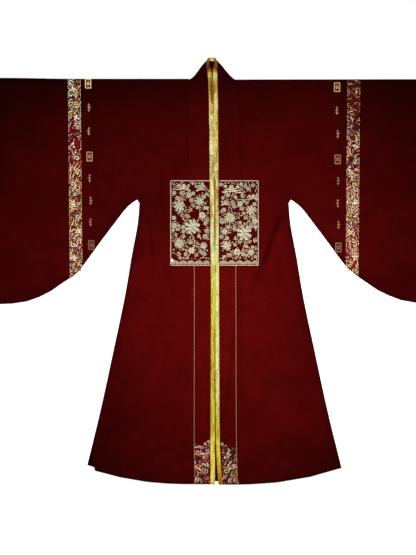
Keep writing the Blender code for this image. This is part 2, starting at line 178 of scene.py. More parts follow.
# Small departures of the laid cloth from its pattern: place, reach, shift
NUDGES = (
    ((-0.560, -0.030), (0.150, 0.120), (0.0000, -0.0070)),
    ((0.480, -0.010), (0.120, 0.100), (0.0000, -0.0035)),
    ((-0.720, 0.630), (0.220, 0.100), (0.0000, 0.0045)),
    ((-0.110, 0.640), (0.070, 0.030), (0.0000, 0.0015)),
    ((0.240, 0.640), (0.170, 0.050), (0.0000, -0.0032)),
    ((-0.459, 0.000), (0.030, 0.040), (0.0000, -0.0055)),
    ((-0.030, -0.703), (0.080, 0.030), (0.0000, 0.0024)),
    ((-0.008, 0.703), (0.030, 0.025), (0.0000, -0.0025)),
    ((0.0185, -0.220), (0.009, 0.400), (-0.0025, 0.0000)),
    ((-0.0115, -0.100), (0.009, 0.100), (0.0022, 0.0000)),
    ((0.0075, -0.690), (0.006, 0.080), (0.0020, 0.0000)),
)

# Small tiles and sprigs beside each brocade band: sizes and tints, then each column's top and
# foot, and what stands where down it and how bright
TILE = (0.0205, 0.0320)
SPRIG_HEIGHT = 0.026
SPRIG_STALK = (1.20, 0.78, 0.50)
SPRIG_LEAF = (1.20, 0.66, 0.42)
COLUMNS = {
    -1: ((-0.4135, 0.6145), (-0.4030, 0.0861)),
    1: ((0.4040, 0.6042), (0.4085, 0.0782)),
}
COLUMN_ROW = ("tile", "sprig", "sprig", "tile", "sprig", "sprig", "sprig", "tile")
COLUMN_SHARES = (0.0, 0.148, 0.295, 0.452, 0.588, 0.727, 0.861, 1.0)
COLUMN_LIGHTS = {
    -1: (1.0, 0.9, 0.8, 0.50, 0.6, 0.7, 0.5, 0.20),
    1: (0.58, 0.8, 0.7, 0.30, 0.5, 0.7, 0.6, 0.26),
}

# Thread colours
SILVER = (0.78, 0.71, 0.51)
CHAMPAGNE = (0.72, 0.62, 0.38)
CREAM = (0.98, 0.88, 0.66)
IVORY = (1.00, 0.96, 0.82)
BRIGHT_GOLD = (0.96, 0.76, 0.28)
PALE_GOLD = (0.66, 0.50, 0.19)
OLD_GOLD = (0.40, 0.23, 0.06)
CRIMSON = (0.40, 0.020, 0.026)
ROSE = (0.70, 0.16, 0.12)
BLUSH = (0.86, 0.50, 0.36)
WINE = (0.14, 0.008, 0.010)
SLATE = (0.24, 0.20, 0.13)
INK = (0.030, 0.020, 0.012)
ORANGE = (0.76, 0.36, 0.10)
CORD_GOLD = (1.00, 0.64, 0.26)

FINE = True


def link(piece):
    bpy.context.scene.collection.objects.link(piece)
    return piece


def mix(a, b, share):
    return a + (b - a) * share


def smooth_step(share):
    share = np.clip(share, 0.0, 1.0)
    return share * share * (3 - 2 * share)


def around(centre, radius, angle):
    """The place at a distance and in a direction from a centre."""
    return centre[0] + radius * math.cos(angle), centre[1] + radius * math.sin(angle)


def tinted(shade, light):
    return tuple(c * light for c in shade)


def streak(xy, x0, y0, x1, y1, half, bend, ends=(0.25, 0.35)):
    """1 along a bent line, falling to 0 across its half width and towards both ends."""
    start = np.array((x0, y0))
    along = np.array((x1 - x0, y1 - y0))
    length = math.hypot(*along)
    along = along / length
    t = (xy - start) @ along / length
    aside = (xy - start) @ np.array((-along[1], along[0]))
    aside = aside - bend * np.sin(np.pi * np.clip(t, 0, 1))
    fade = smooth_step(t / ends[0]) * smooth_step((1 - t) / ends[1])
    return fade * np.exp(-((aside / half) ** 2) * 1.6)


def near(xy, place, reach):
    """1 at a place, falling softly to 0 over a reach along each axis."""
    off = (np.asarray(xy) - place) / reach
    return np.exp(-(off ** 2).sum(1))


def hem_line(x):
    """Height of the hem's edge under the middle of the skirt and out to its corners."""
    return HEM_Y + HEM_RISE * (np.abs(x) / HEM_HALF) ** HEM_POWER


def relief(xy):
    """How far the laid cloth rises over its solid at many points: swells, creases, turned edges."""
    rise = np.zeros(len(xy))
    for depth, size in SWELLS:
        values = [noise.noise((x / size, y / size, depth * 1000)) for x, y in xy]
        rise += depth * (0.5 + 0.5 * np.array(values))
    for x0, y0, x1, y1, half, height, bend in CREASES:
        rise += height * streak(xy, x0, y0, x1, y1, half, bend)
    wide, thick = TURN_UP
    out = abs(xy[:, 0])
    from_hem = np.where(out < SKIRT_REACH, xy[:, 1] - hem_line(np.minimum(out, SKIRT_REACH)), 1.0)
    return rise + thick * smooth_step((wide - np.minimum(from_hem, CAD_HIGH.x - out)) / 0.002)


def tree_of(names):
    """One search tree over several solids."""
    verts = []
    faces = []
    for name in names:
        mesh = NODES[name].data
        base = len(verts)
        verts += [v.co for v in mesh.vertices]
        faces += [[base + k for k in p.vertices] for p in mesh.polygons]
    return BVHTree.FromPolygons(verts, faces)


FRONT_TREE = tree_of([n for n in NODES if n.startswith(("front_", "sleeve_", "band_"))])
SKY = 0.1


def front_height(xy):
    """Top of the front layer at many points: its solids' surface, and the laid cloth's relief."""
    heights = np.full(len(xy), FRONT_TOP)
    for k, (x, y) in enumerate(xy):
        hit = FRONT_TREE.ray_cast((x, y, SKY), (0, 0, -1))[0]
        if hit is not None:
            heights[k] = max(hit.z, FRONT_TOP)
    return heights + relief(xy)


class Ground:
    """Values over one area, read between the points of a fine grid: by default the front's height."""

    def __init__(self, low, high, step=0.003, values=front_height):
        self.low = np.array(low) - step
        self.step = step
        counts = np.ceil((np.array(high) + step - self.low) / step).astype(int) + 1
        xs = self.low[0] + step * np.arange(counts[0])
        ys = self.low[1] + step * np.arange(counts[1])
        grid = np.array([(x, y) for x in xs for y in ys])
        self.heights = values(grid).reshape(counts)

    def at(self, xy):
        place = (np.asarray(xy) - self.low) / self.step
        limit = np.array(self.heights.shape) - 2
        cell = np.clip(place.astype(int), 0, limit)
        share = np.clip(place - cell, 0, 1)
        i, j = cell[:, 0], cell[:, 1]
        low = mix(self.heights[i, j], self.heights[i + 1, j], share[:, 0])
        high = mix(self.heights[i, j + 1], self.heights[i + 1, j + 1], share[:, 0])
        return mix(low, high, share[:, 1])


def painted_edge_darkening(xy):
    """Painted shade beside the cloth's outer edges: darker by the share of nearby places off the robe."""
    missed = np.zeros(len(xy))
    steps = [(r, math.pi * k / 5) for r in (EDGE_REACH / 3, EDGE_REACH) for k in range(10)]
    for k, spot in enumerate(xy):
        for reach, turn in steps:
            off = around(spot, reach, turn)
            missed[k] += FRONT_TREE.ray_cast((*off, SKY), (0, 0, -1))[0] is None
    return 1.0 - EDGE_PAINTED_DARKNESS * missed / len(steps)


# Painted shade along the outer edges, read between the points of a 10 mm grid
EDGE_PAINTED_SHADE_GRID = Ground(CAD_LOW.xy, CAD_HIGH.xy, 0.010, painted_edge_darkening)


def painted_cloth_light(xy, level=1.0):
    """Brightness of the cloth at many points: painted shade and highlight in streaks along creases and
    folds, painted broad shade and light, and painted shade along its outer edges.
    """
    tone = np.full(len(xy), level)
    for x0, y0, x1, y1, half, amount, bend in PAINTED_STREAKS:
        tone *= 1.0 + amount * streak(xy, x0, y0, x1, y1, half, bend, (0.12, 0.30))
    for place, reach, amount in PAINTED_LIGHT_AND_SHADE:
        tone *= 1.0 + amount * near(xy, place, reach)
    return tone * EDGE_PAINTED_SHADE_GRID.at(xy)


def border_loop(triangles):
    """The longest closed loop of edges that only one triangle has, in order."""
    directed = {(t[k], t[(k + 1) % 3]) for t in triangles for k in range(3)}
    after = {a: b for a, b in directed if (b, a) not in directed}
    loops = []
    while after:
        start, here = after.popitem()
        loop = [start]
        while here != start:
            loop.append(here)
            here = after.pop(here)
        loops.append(loop)
    return max(loops, key=len)


def nudged(xy):
    """The places, moved by the small departures."""
    moved = np.array(xy, float)
    for place, reach, shift in NUDGES:
        moved += near(xy, place, reach)[:, None] * np.array(shift)
    return moved


def outline_of(name, level):
    """The outline of a solid's upper faces above a level, anticlockwise, as an array."""
    mesh = NODES[name].data
    places = {}
    triangles = []
    mesh.calc_loop_triangles()
    for tri in mesh.loop_triangles:
        corners = [mesh.vertices[k].co for k in tri.vertices]
        if tri.normal.z > 0.4 and sum(c.z for c in corners) / 3 > level:
            keys = [(round(c.x, 5), round(c.y, 5)) for c in corners]
            if len(set(keys)) == 3:
                triangles.append([places.setdefault(key, len(places)) for key in keys])
    points = list(places)
    return nudged([points[k] for k in border_loop(triangles)])


def divide(outline, spacing):
    """The outline with no edge longer than the spacing."""
    points = []
    for a, b in zip(outline, np.roll(outline, -1, axis=0)):
        steps = max(1, math.ceil(math.dist(a, b) / spacing))
        points += [mix(a, b, k / steps) for k in range(steps)]
    return np.array(points)


def edge_distance(xy, ring):
    """Distance from each point to the nearest edge of a ring, and whether it lies inside."""
    nearest = np.full(len(xy), np.inf)
    inside = np.zeros(len(xy), bool)
    for a, b in zip(ring, np.roll(ring, -1, axis=0)):
        edge = b - a
        t = np.clip((xy - a) @ edge / max(edge @ edge, 1e-12), 0, 1)
        nearest = np.minimum(nearest, np.linalg.norm(xy - a - t[:, None] * edge, axis=1))
        crosses = (a[1] > xy[:, 1]) != (b[1] > xy[:, 1])
        if crosses.any():
            at = a[0] + (xy[:, 1] - a[1]) / (b[1] - a[1] if b[1] != a[1] else 1) * edge[0]
            inside ^= crosses & (xy[:, 0] < at)
    return nearest, inside


def fill(outline, spacing):
    """A triangle mesh of a flat shape: a staggered grid inside its outline."""
    ring = divide(outline, spacing)
    low, high = ring.min(0), ring.max(0)
    rows = np.arange(low[1] + spacing / 2, high[1], spacing)
    columns = np.arange(low[0] + spacing / 4, high[0], spacing)
    grid = np.array([(x + spacing / 2 * (k % 2), y) for k, y in enumerate(rows) for x in columns])
    if len(grid):
        far, inside = edge_distance(grid, ring)
        grid = grid[inside & (far > 0.45 * spacing)]
        points = np.vstack((ring, grid))
    else:
        points = ring
    edges = [(k, (k + 1) % len(ring)) for k in range(len(ring))]
    made = delaunay_2d_cdt([Vector(p) for p in points], edges, [], 1, 1e-7)
    xy = np.array([tuple(p) for p in made[0]])
    triangles = []
    for face in made[2]:
        a, b, c = (xy[k] for k in face)
        turn = (b[0] - a[0]) * (c[1] - a[1]) - (b[1] - a[1]) * (c[0] - a[0])
        triangles.append(list(face) if turn > 0 else list(reversed(face)))
    return xy, triangles


def inward(xy, loop):
    """Unit vectors that point into the shape from the points of its border loop."""
    ring = xy[loop]
    ahead = np.roll(ring, -1, axis=0) - ring
    behind = ring - np.roll(ring, 1, axis=0)
    ahead /= np.linalg.norm(ahead, axis=1)[:, None]
    behind /= np.linalg.norm(behind, axis=1)[:, None]
    normal = np.stack((-(ahead + behind)[:, 1], (ahead + behind)[:, 0]), axis=1)
    return normal / np.maximum(np.linalg.norm(normal, axis=1), 1e-9)[:, None]


class Sheets:
    """Collects the skins and rims of one cloth piece, all made from one flat triangle mesh."""

    def __init__(self, outline, spacing):
        self.xy, self.triangles = fill(outline, spacing)
        self.loop = border_loop(self.triangles)
        self.inner = inward(self.xy, self.loop)
        self.points = []
        self.faces = []

    def place(self, xy, heights):
        """Adds points and returns the number of the first."""
        base = len(self.points)
        self.points += [(x, y, z) for (x, y), z in zip(xy, heights)]
        return base

    def skin(self, heights, inset, up):
        """One skin, with its border drawn in by an inset. Returns its border's numbers."""
        xy = self.xy.copy()
        xy[self.loop] += self.inner * inset
        base = self.place(xy, heights)
        for triangle in self.triangles:
            face = [base + k for k in triangle]
            self.faces.append(face if up else face[::-1])
        return [base + k for k in self.loop]

    def ring(self, heights, inset=0.0):
        """A ring of points along the border."""
        base = self.place(self.xy[self.loop] + self.inner * inset, heights)
        return list(range(base, base + len(self.loop)))

    def join(self, upper, lower, chosen=None):
        """Faces between two rings, for the chosen edges of the border."""
        for k in range(len(upper)):
            n = (k + 1) % len(upper)
            if chosen is None or chosen[k]:
                self.faces.append((lower[k], lower[n], upper[n], upper[k]))

    def piece(self, name, node, material, slot, level=1.0):
        # The tone attribute: painted shade and light on the cloth
        tone = painted_cloth_light(np.array(self.points)[:, :2], level)
        return make_piece(name, self.points, self.faces, material, slot, (node,), tone=tone)


def make_piece(name, points, faces, material, slot, replaced=(), **values):
    """A finished piece. Values are its points' numbers, or colours where they have four parts."""
    mesh = bpy.data.meshes.new(name)
    mesh.from_pydata([tuple(p) for p in points], [], faces)
    for key, given in values.items():
        given = np.array(given)
        kind, field = ("FLOAT", "value") if given.ndim == 1 else ("FLOAT_COLOR", "color")
        mesh.attributes.new(key, kind, "POINT").data.foreach_set(field, given.ravel())
    mesh.shade_smooth()
    mesh.materials.append(material)
    piece = link(bpy.data.objects.new(name, mesh))
    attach(piece, "root")
    if replaced:
        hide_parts(*replaced)
    return piece


def make_shell(name, node, level, spacing, top_of, thickness, material, slot, lip=False, tone=1.0):
    """A single layer of cloth with rounded edges. A lip turns down over the shoulder fold."""
    sheets = Sheets(outline_of(node, level), spacing)
    top = top_of(sheets.xy)
    loop = sheets.loop
    half_way = top[loop] - thickness / 2
    rounded = np.zeros(len(top))
    rounded[loop] = ROUNDING
    upper = sheets.skin(top - rounded, ROUNDING, True)
    middle = sheets.ring(half_way)
    lower = sheets.skin(top - thickness + rounded, ROUNDING, False)
    sheets.join(upper, middle)
    if lip:
        on_fold = sheets.xy[loop][:, 1] > SHOULDER_Y - 0.0005
        both = on_fold & np.roll(on_fold, -1)
        foot = np.where(on_fold, 0.0002, half_way)
        rings = middle, sheets.ring(foot), sheets.ring(foot, CLOTH), lower
        for above, below in zip(rings, rings[1:]):
            sheets.join(above, below, both)
        sheets.join(middle, lower, ~both)
    else:
        sheets.join(middle, lower)
    return sheets.piece(name, node, material, slot, tone)


def make_tube(name, node, spacing, side, material):
    """An outer sleeve: a flat tube of cloth, closed at the fold and below, open at its ends."""
    sheets = Sheets(outline_of(node, 0.002), spacing)
    low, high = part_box(node)
    cuff = high.x if side > 0 else low.x
    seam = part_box(node)[0].x if side > 0 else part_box(node)[1].x
    ring = sheets.xy[sheets.loop]
    after = np.roll(ring, -1, axis=0)

    def beside(x, reach):
        """Whether each edge of the border lies within reach of an end of the sleeve."""
        return (abs(ring[:, 0] - x) < reach) & (abs(after[:, 0] - x) < reach)

    upright = abs(ring[:, 1] - after[:, 1]) > abs(ring[:, 0] - after[:, 0])
    open_edge = beside(cuff, 1e-4) | (beside(seam, 0.012) & upright)
    top = front_height(sheets.xy)
    rounded = np.zeros(len(top))
    rounded[sheets.loop] = ROUNDING
    base = np.zeros(len(top))
    outer = sheets.skin(top - rounded, ROUNDING, True)
    under = sheets.skin(base, ROUNDING, False)
    roof = sheets.skin(top - CLOTH, CLOTH, False)
    floor = sheets.skin(base + CLOTH, CLOTH, True)
    middle = sheets.ring(top[sheets.loop] / 2)
    for above, below in ((outer, middle), (middle, under), (floor, roof)):
        sheets.join(above, below, ~open_edge)
    for above, below in ((outer, roof), (floor, under)):
        sheets.join(above, below, open_edge)
    return sheets.piece(name, node, material, "red_cloth")


# Cross-sections of raised stitching: place across, share of the height, light, which paints shade on the
# sloping sides and, in a blade, in its middle groove
BLADE_PROFILE = (
    (-1, 0.0, 0.45), (-0.8, 1.0, 0.6), (-0.8, 1.0, 1.0), (0, 0.82, 0.8),
    (0.8, 1.0, 1.0), (0.8, 1.0, 0.6), (1, 0.0, 0.45),
)
STEM_PROFILE = (
    (-1, 0.0, 0.5), (-0.65, 1.0, 0.7), (-0.65, 1.0, 1.0),
    (0.65, 1.0, 1.0), (0.65, 1.0, 0.7), (1, 0.0, 0.5),
)
# Rings of a round stitch from its foot to its top: share of the radius, share of the height
KNOT_PROFILE = ((1.0, 0.0), (0.72, 0.7), (0.3, 0.96), (0.02, 1.0))


# Rows of a full flower: petals, root and length as shares of its radius, width, light
PEONY_ROWS = (
    (8, 0.44, 0.56, 0.62, 0.86),
    (6, 0.22, 0.42, 0.54, 1.04),
    (4, 0.06, 0.30, 0.42, 1.18),
)


class Needlework:
    """Embroidery as small raised shapes, gathered into one mesh.

    Each point has a thread colour, and a grain: how far it lies across the stitches, in metres.
    """

    def __init__(self, seed):
        self.points = []
        self.faces = []
        self.shades = []
        self.grain = []
        self.random = random.Random(seed)
        self.taken = np.empty((0, 3))

    def patch(self, rows, closed=False, breaks=()):
        """A strip of rows of (x, y, z, shade, grain), joined in order. Breaks are columns left open."""
        base = len(self.points)
        width = len(rows[0])
        for row in rows:
            for x, y, z, shade, grain in row:
                self.points.append((x, y, z))
                self.shades.append(shade)
                self.grain.append(grain)
        for k in range(len(rows) - 1):
            for j in range(width if closed else width - 1):
                if j in breaks:
                    continue
                n = (j + 1) % width
                a = base + k * width
                b = a + width
                self.faces.append((a + j, b + j, b + n, a + n))

    def blade(self, root, angle, length, width, shade, rise=0.0008, curve=0.0, steps=5, blunt=1.0):
        """A leaf or petal: two satin halves with a groove between, and steep sides in painted shade, a
        little darker towards its root.
        """
        rows = []
        tone = self.random.uniform(0.85, 1.12)
        for k in range(steps + 1):
            t = k / steps
            half = width / 2 * math.sin(math.pi * min(t ** blunt * 0.97 + 0.015, 1.0)) ** 0.85
            heading = angle + curve * (t - 0.5)
            swell = rise * (0.5 + 0.5 * math.sin(math.pi * t))
            row = []
            for across, up, light in BLADE_PROFILE:
                spot = around(root, half * across, heading + math.pi / 2)
                # Painted shade: darker on the sloping sides and towards the root
                colour = tinted(shade, tone * light * mix(0.8, 1.08, t))
                row.append((*spot, swell * up, colour, t * length + abs(across) * half))
            rows.append(row)
            root = around(root, length / steps, heading)
        self.patch(rows, breaks=(1, 4))

    def leaflet(self, centre, radius, turn, length, width, shade):
        """A small curved leaf about its middle, its length and width as shares of a radius."""
        root = around(centre, -radius, turn)
        self.blade(root, turn, radius * length, radius * width, shade, curve=0.4, steps=4)

    def stem(self, path, width, shade, rise=0.0006, taper=0.5):
        """A raised line along a path."""
        rows = []
        run = 0.0
        last = len(path) - 1
        for k, (x, y) in enumerate(path):
            ahead, behind = path[min(k + 1, last)], path[max(k - 1, 0)]
            dx, dy = ahead[0] - behind[0], ahead[1] - behind[1]
            half = width / 2 * mix(1.0, taper, k / max(last, 1)) / (math.hypot(dx, dy) or 1.0)
            if k in (0, last):
                half *= 0.5
            run += math.dist((x, y), behind)
            # Painted shade on the sloping sides, from the profile's light
            rows.append([
                (x - dy * half * across, y + dx * half * across, rise * up, tinted(shade, light), run)
                for across, up, light in STEM_PROFILE
            ])
        self.patch(rows, breaks=(1, 3))

    def knot(self, centre, radius, shade, rise=None, sides=7):
        """A round raised stitch."""
        rise = radius * 0.8 if rise is None else rise
        rows = []
        for share, up in KNOT_PROFILE:
            size = radius * share
            turns = [2 * math.pi * j / sides for j in range(sides)]
            rows.append([(*around(centre, size, turn), rise * up, shade, size) for turn in turns])
        self.patch(rows, closed=True)

    def petal(self, root, angle, length, width, shade, lift):
        """A broad round petal with a shallow notch at its tip, with painted shade at its root and sides.
        """
        rows = []
        tone = self.random.uniform(0.9, 1.08)
        steps = 6
        for k in range(steps + 1):
            t = k / steps
            half = width / 2 * (0.3 + 0.7 * t ** 0.7) * math.sqrt(1 - 0.97 * t ** 5)
            rise = 0.0003 if k in (0, steps) else 0.0006
            row = []
            for across, up, light in BLADE_PROFILE:
                reach = t * length * (0.92 if across == 0 else 1.0)
                spot = around(around(root, reach, angle), half * across, angle + math.pi / 2)
                # Painted shade: dark at the root where petals tuck under, and on the sides
                colour = tinted(shade, tone * light * mix(0.40, 1.12, t ** 0.6))
                row.append((*spot, lift + rise * up, colour, reach))
            rows.append(row)
        self.patch(rows, breaks=(1, 4))

    def spokes(self, centre, start, count, turn, shift=0.0, sway=0.0):
        """The angle and root of each petal of a ring that starts at a distance from its centre."""
        for k in range(count):
            angle = turn + 2 * math.pi * (k + shift) / count
            if sway:
                angle += self.random.uniform(-sway, sway)
            yield angle, around(centre, start, angle)

    def peony(self, centre, radius, shade, heart, turn):
        """A full round flower: three rings of broad petals about a knotted heart."""
        for count, start, reach, wide, light in PEONY_ROWS:
            tint = tinted(shade, light)
            for angle, root in self.spokes(centre, radius * start, count, turn, 0.37 * count, 0.1):
                length = radius * reach * self.random.uniform(0.88, 1.06)
                self.petal(root, angle, length, radius * wide, tint, 0.00025 * (9 - count))
        for _, spot in self.spokes(centre, radius * 0.09, 5, turn):
            self.knot(spot, radius * 0.065, heart, 0.0022, sides=5)
        self.keep(centre, radius * 0.95)

    def daisy(self, centre, radius, shade, heart, turn):
        """A flower of many long narrow petals in two rings."""
        for count, share, rise in ((14, 1.0, 0.0006), (9, 0.62, 0.000828)):
            for angle, root in self.spokes(centre, radius * 0.1, count, turn, sway=0.06):
                length = radius * share * self.random.uniform(0.82, 0.95)
                self.blade(root, angle, length, radius * 0.2, shade, rise, 0.35, steps=4, blunt=1.5)
        self.knot(centre, radius * 0.14, heart, 0.0016)
        self.keep(centre, radius * 0.93)

    def whorl(self, centre, radius, tones, hand, turn, petals=6):
        """A round flower of curved petals in several threads, all bent one way about a knot."""
        rings = ((1.0, petals, 0.0, 0.0007), (0.62, petals - 2, 0.5, 0.0011))
        for share, count, shift, rise in rings:
            size = radius * share
            spokes = self.spokes(centre, radius * 0.14, count, turn, shift)
            for k, (angle, root) in enumerate(spokes):
                tone = tones[k % len(tones)]
                self.blade(root, angle + 0.5 * hand, size * 0.98, size * 0.60, tone, rise, -1.3 * hand)
        self.knot(centre, radius * 0.17, tones[-1], 0.0014)
        self.keep(centre, radius * 0.92)

    def frond(self, path, reach, shade, leaf_shade):
        """A twig along a path, with narrow leaves on both sides and one at its tip."""
        self.stem(path, 0.0020, shade)
        for k in range(1, len(path) - 1):
            (x, y), ahead = path[k:k + 2]
            heading = math.atan2(ahead[1] - y, ahead[0] - x)
            size = reach * mix(1.0, 0.6, k / len(path)) * self.random.uniform(0.85, 1.1)
            for hand in (-1, 1):
                lean = heading + hand * self.random.uniform(0.75, 0.95)
                self.blade((x, y), lean, size, size * 0.36, leaf_shade, curve=-hand * 0.6, steps=4)
        (x, y), tip = path[-2:]
        heading = math.atan2(tip[1] - y, tip[0] - x)
        self.blade(tip, heading, reach * 0.7, reach * 0.28, leaf_shade, steps=4)

    def grow(self, low, high, tries, steps, pace, radius, field, allowed, draw):
        """Draws shapes along paths that follow a field from random free places, and no short ones."""
        for _ in range(tries):
            spot = self.random.uniform(low[0], high[0]), self.random.uniform(low[1], high[1])
            if not (allowed(*spot) and self.free(spot, radius, 0.1)):
                continue
            path = [spot]
            for _ in range(steps):
                spot = around(spot, pace, field(*spot))
                if not (allowed(*spot) and self.free(spot, radius, 0.15)):
                    break
                path.append(spot)
            if len(path) > steps // 2:
                draw(path)
                self.keep_all(path, radius)

    def cloud_bank(self, centre, length, tall, lean, shade, hand):
        """A long cloud: stacked bands that taper to a tail, with curled heads along the top."""
        def at(u, v):
            return around(around(centre, u, lean), v, lean + math.pi / 2)

        for level, start, end in ((-0.42, -0.5, 0.5), (-0.14, -0.40, 0.42), (0.14, -0.22, 0.34)):
            path = []
            for k in range(15):
                t = k / 14
                wave = 0.10 * tall * math.sin(t * 9 + level * 5)
                path.append(at(mix(start, end, t) * length * hand, level * tall + wave))
            self.stem(path, tall * 0.27, shade, 0.0009, taper=0.35)
            self.keep_all(path[::3], tall * 0.16)
        for share, size in ((-0.36, 0.40), (-0.10, 0.52), (0.16, 0.40)):
            spot = at(share * length * hand, 0.30 * tall)
            self.scroll(spot, tall * size * 0.62, 1.35, lean + 3.6, tall * 0.15, shade, -hand)
            self.keep(spot, tall * size * 0.55)

    def waves(self, low, high, pitch, shade):
        """Rows of nested arcs, each row before the one above it."""
        rise = pitch * 0.36
        count = int((high[0] - low[0]) / pitch) + 2
        front = []
        for row in range(int((high[1] - low[1]) / rise)):
            left = low[0] - pitch / 2 + pitch / 2 * (row % 2)
            line = [(left + pitch * k, low[1] + rise * row) for k in range(count)]

            def shown(x, y):
                clear = all(math.dist((x, y), centre) > pitch * 0.53 for centre in front)
                return clear and low[0] < x < high[0] and y > low[1]

            for centre in line:
                for share in (0.5, 0.36, 0.22):
                    run = []
                    for k in range(17):
                        spot = around(centre, pitch * share, math.pi * k / 16)
                        seen = shown(*spot)
                        if seen:
                            run.append(spot)
                        if not seen or k == 16:
                            if len(run) > 2:
                                self.stem(run, pitch * 0.085, shade, taper=1.0)
                            run = []
            front = line

    def blossom(self, centre, radius, petals, shade, heart, turn, layers=2):
        """A round flower: rings of petals about a knot."""
        for layer, share in enumerate((1.0, 0.68)[:layers]):
            count = petals - layer
            size = radius * share
            width = 2 * math.pi * size / count * 0.72
            tint = tinted(shade, 1.0 - 0.12 * layer)
            steps = 5 if radius > 0.008 else 4
            rise = 0.0007 + 0.0004 * layer
            for angle, root in self.spokes(centre, radius * 0.16, count, turn, layer * 0.5):
                self.blade(root, angle, size * 0.86, width, tint, rise, steps=steps, blunt=1.5)
        self.knot(centre, radius * 0.2, heart, 0.0014)

    def scroll(self, centre, radius, turns, start, width, shade, hand):
        """A curl that winds in to its middle."""
        steps = int(turns * 14)
        path = []
        for k in range(steps + 1):
            t = k / steps
            path.append(around(centre, radius * (1 - t) ** 0.8, start + hand * 2 * math.pi * turns * t))
        self.stem(path, width, shade, taper=0.8)
        self.knot(centre, width * 0.8, shade)

    def keep(self, centre, radius):
        """Notes the room that a shape takes."""
        self.taken = np.vstack((self.taken, (centre[0], centre[1], radius)))

    def keep_all(self, centres, radius):
        for centre in centres:
            self.keep(centre, radius)

    def free(self, centre, radius, slack):
        """Whether a shape has room at a place. Slack is the share by which it may overlap."""
        far = np.hypot(self.taken[:, 0] - centre[0], self.taken[:, 1] - centre[1])
        return bool((far > (self.taken[:, 2] + radius) * (1 - slack)).all())

    def scatter(self, low, high, tries, radius, slack, draw, allowed, field=None):
        """Draws small shapes at free places in a box, turned with a field or at random."""
        for _ in range(tries):
            size = radius * self.random.uniform(0.85, 1.15)
            x = self.random.uniform(low[0] + size, high[0] - size)
            y = self.random.uniform(low[1] + size, high[1] - size)
            if allowed(x, y) and self.free((x, y), size, slack):
                turn = self.random.uniform(0, 2 * math.pi)
                if field is not None:
                    turn = field(x, y) + self.random.uniform(-0.5, 0.5)
                draw((x, y), size, turn)
                self.keep((x, y), size)

    def piece(self, name, ground, level, material, slot):
        """The finished mesh, laid on the ground."""
        points = np.array(self.points)
        points[:, :2] = nudged(points[:, :2])
        points[:, 2] += ground.at(points[:, :2]) + level
        shades = [(*shade, 1.0) for shade in self.shades]
        return make_piece(name, points, self.faces, material, slot, shade=shades, grain=self.grain)


class Nodes:
    """A short way to build a material's node tree."""

    def __init__(self, name):
        self.material = bpy.data.materials.new(name)
        self.material.use_nodes = True
        self.tree = self.material.node_tree
        self.shader = self.tree.nodes["Principled BSDF"]
        self.place = self.add("TexCoord", {}).outputs["Object"]

    def feed(self, node, inputs):
        """Sets a node's inputs, or wires those that are given another node's output."""
        for key, value in inputs.items():
            socket = node.inputs[key]
            if isinstance(value, bpy.types.NodeSocket):
                self.tree.links.new(value, socket)
            else:
                socket.default_value = (*value, 1.0) if socket.type == "RGBA" else value

    def add(self, kind, inputs, **settings):
        node = self.tree.nodes.new("ShaderNode" + kind)
        for key, value in settings.items():
            setattr(node, key, value)
        self.feed(node, inputs)
        return node

    def attribute(self, name, output="Fac"):
        return self.add("Attribute", {}, attribute_name=name).outputs[output]

    def noise(self, scale, detail, roughness=0.55, stretch=None):
        inputs = {"Scale": scale, "Detail": detail, "Roughness": roughness}
        inputs["Vector"] = self.stretched(stretch) if stretch else self.place
        return self.add("TexNoise", inputs).outputs["Fac"]

    def stretched(self, stretch, turn=0.0):
        inputs = {"Scale": stretch, "Rotation": (0, 0, turn), "Vector": self.place}
        return self.add("Mapping", inputs).outputs["Vector"]

    def wave(self, scale, direction, distortion=0.0, source=None):
        inputs = {"Scale": scale, "Distortion": distortion, "Detail": 1.0, "Vector": source or self.place}
        return self.add("TexWave", inputs, wave_type="BANDS", bands_direction=direction).outputs["Fac"]

    def ramp(self, source, stops):
        node = self.add("ValToRGB", {"Fac": source})
        elements = node.color_ramp.elements
        while len(elements) < len(stops):
            elements.new(0.5)
        for element, (position, colour) in zip(elements, stops):
            element.position = position
            element.color = (*colour, 1.0)
        return node.outputs["Color"]

    def span(self, source, low, high, out_low=0.0, out_high=1.0):
        """A value, moved from one range to another and held inside it."""
        ends = {"From Min": low, "From Max": high, "To Min": out_low, "To Max": out_high}
        return self.add("MapRange", {"Value": source, **ends}).outputs["Result"]

    def blend(self, first, second, share, kind="MIX"):
        inputs = {"A": first, "B": second, "Factor": share}
        return self.add("Mix", inputs, data_type="RGBA", blend_type=kind).outputs["Result"]

    def math(self, operation, first, second):
        return self.add("Math", {0: first, 1: second}, operation=operation).outputs["Value"]

    def bump(self, height, strength, distance):
        node = self.add("Bump", {"Height": height, "Strength": strength, "Distance": distance})
        self.feed(self.shader, {"Normal": node.outputs["Normal"]})

    def finish(self, **values):
        """The material, with its shader's inputs set or wired."""
        self.feed(self.shader, {key.replace("_", " "): value for key, value in values.items()})
        return self.material


WEAVE_SCALE = 142.8        # of the wave texture, for threads 1.1 mm apart


def weave(nodes):
    """Threads over and under each other, with a little crinkle."""
    across, along = (nodes.wave(WEAVE_SCALE, axis, 0.4) for axis in "XY")
    crinkle = nodes.math("MULTIPLY", nodes.noise(420.0, 2.0), 0.8)
    return nodes.math("ADD", nodes.math("MULTIPLY", across, along), crinkle)


# Mottles of the crepe from the broadest to the finest: scale, detail, stretch, amount
MOTTLES = (
    (13.0, 2.0, (0.8, 1.0, 1.0), 0.13),
    (40.0, 3.0, (0.9, 1.0, 1.0), 0.09),
    (150.0, 2.0, (1.0, 0.5, 1.0), 0.09),
    (700.0, 1.0, None, 0.12),
)


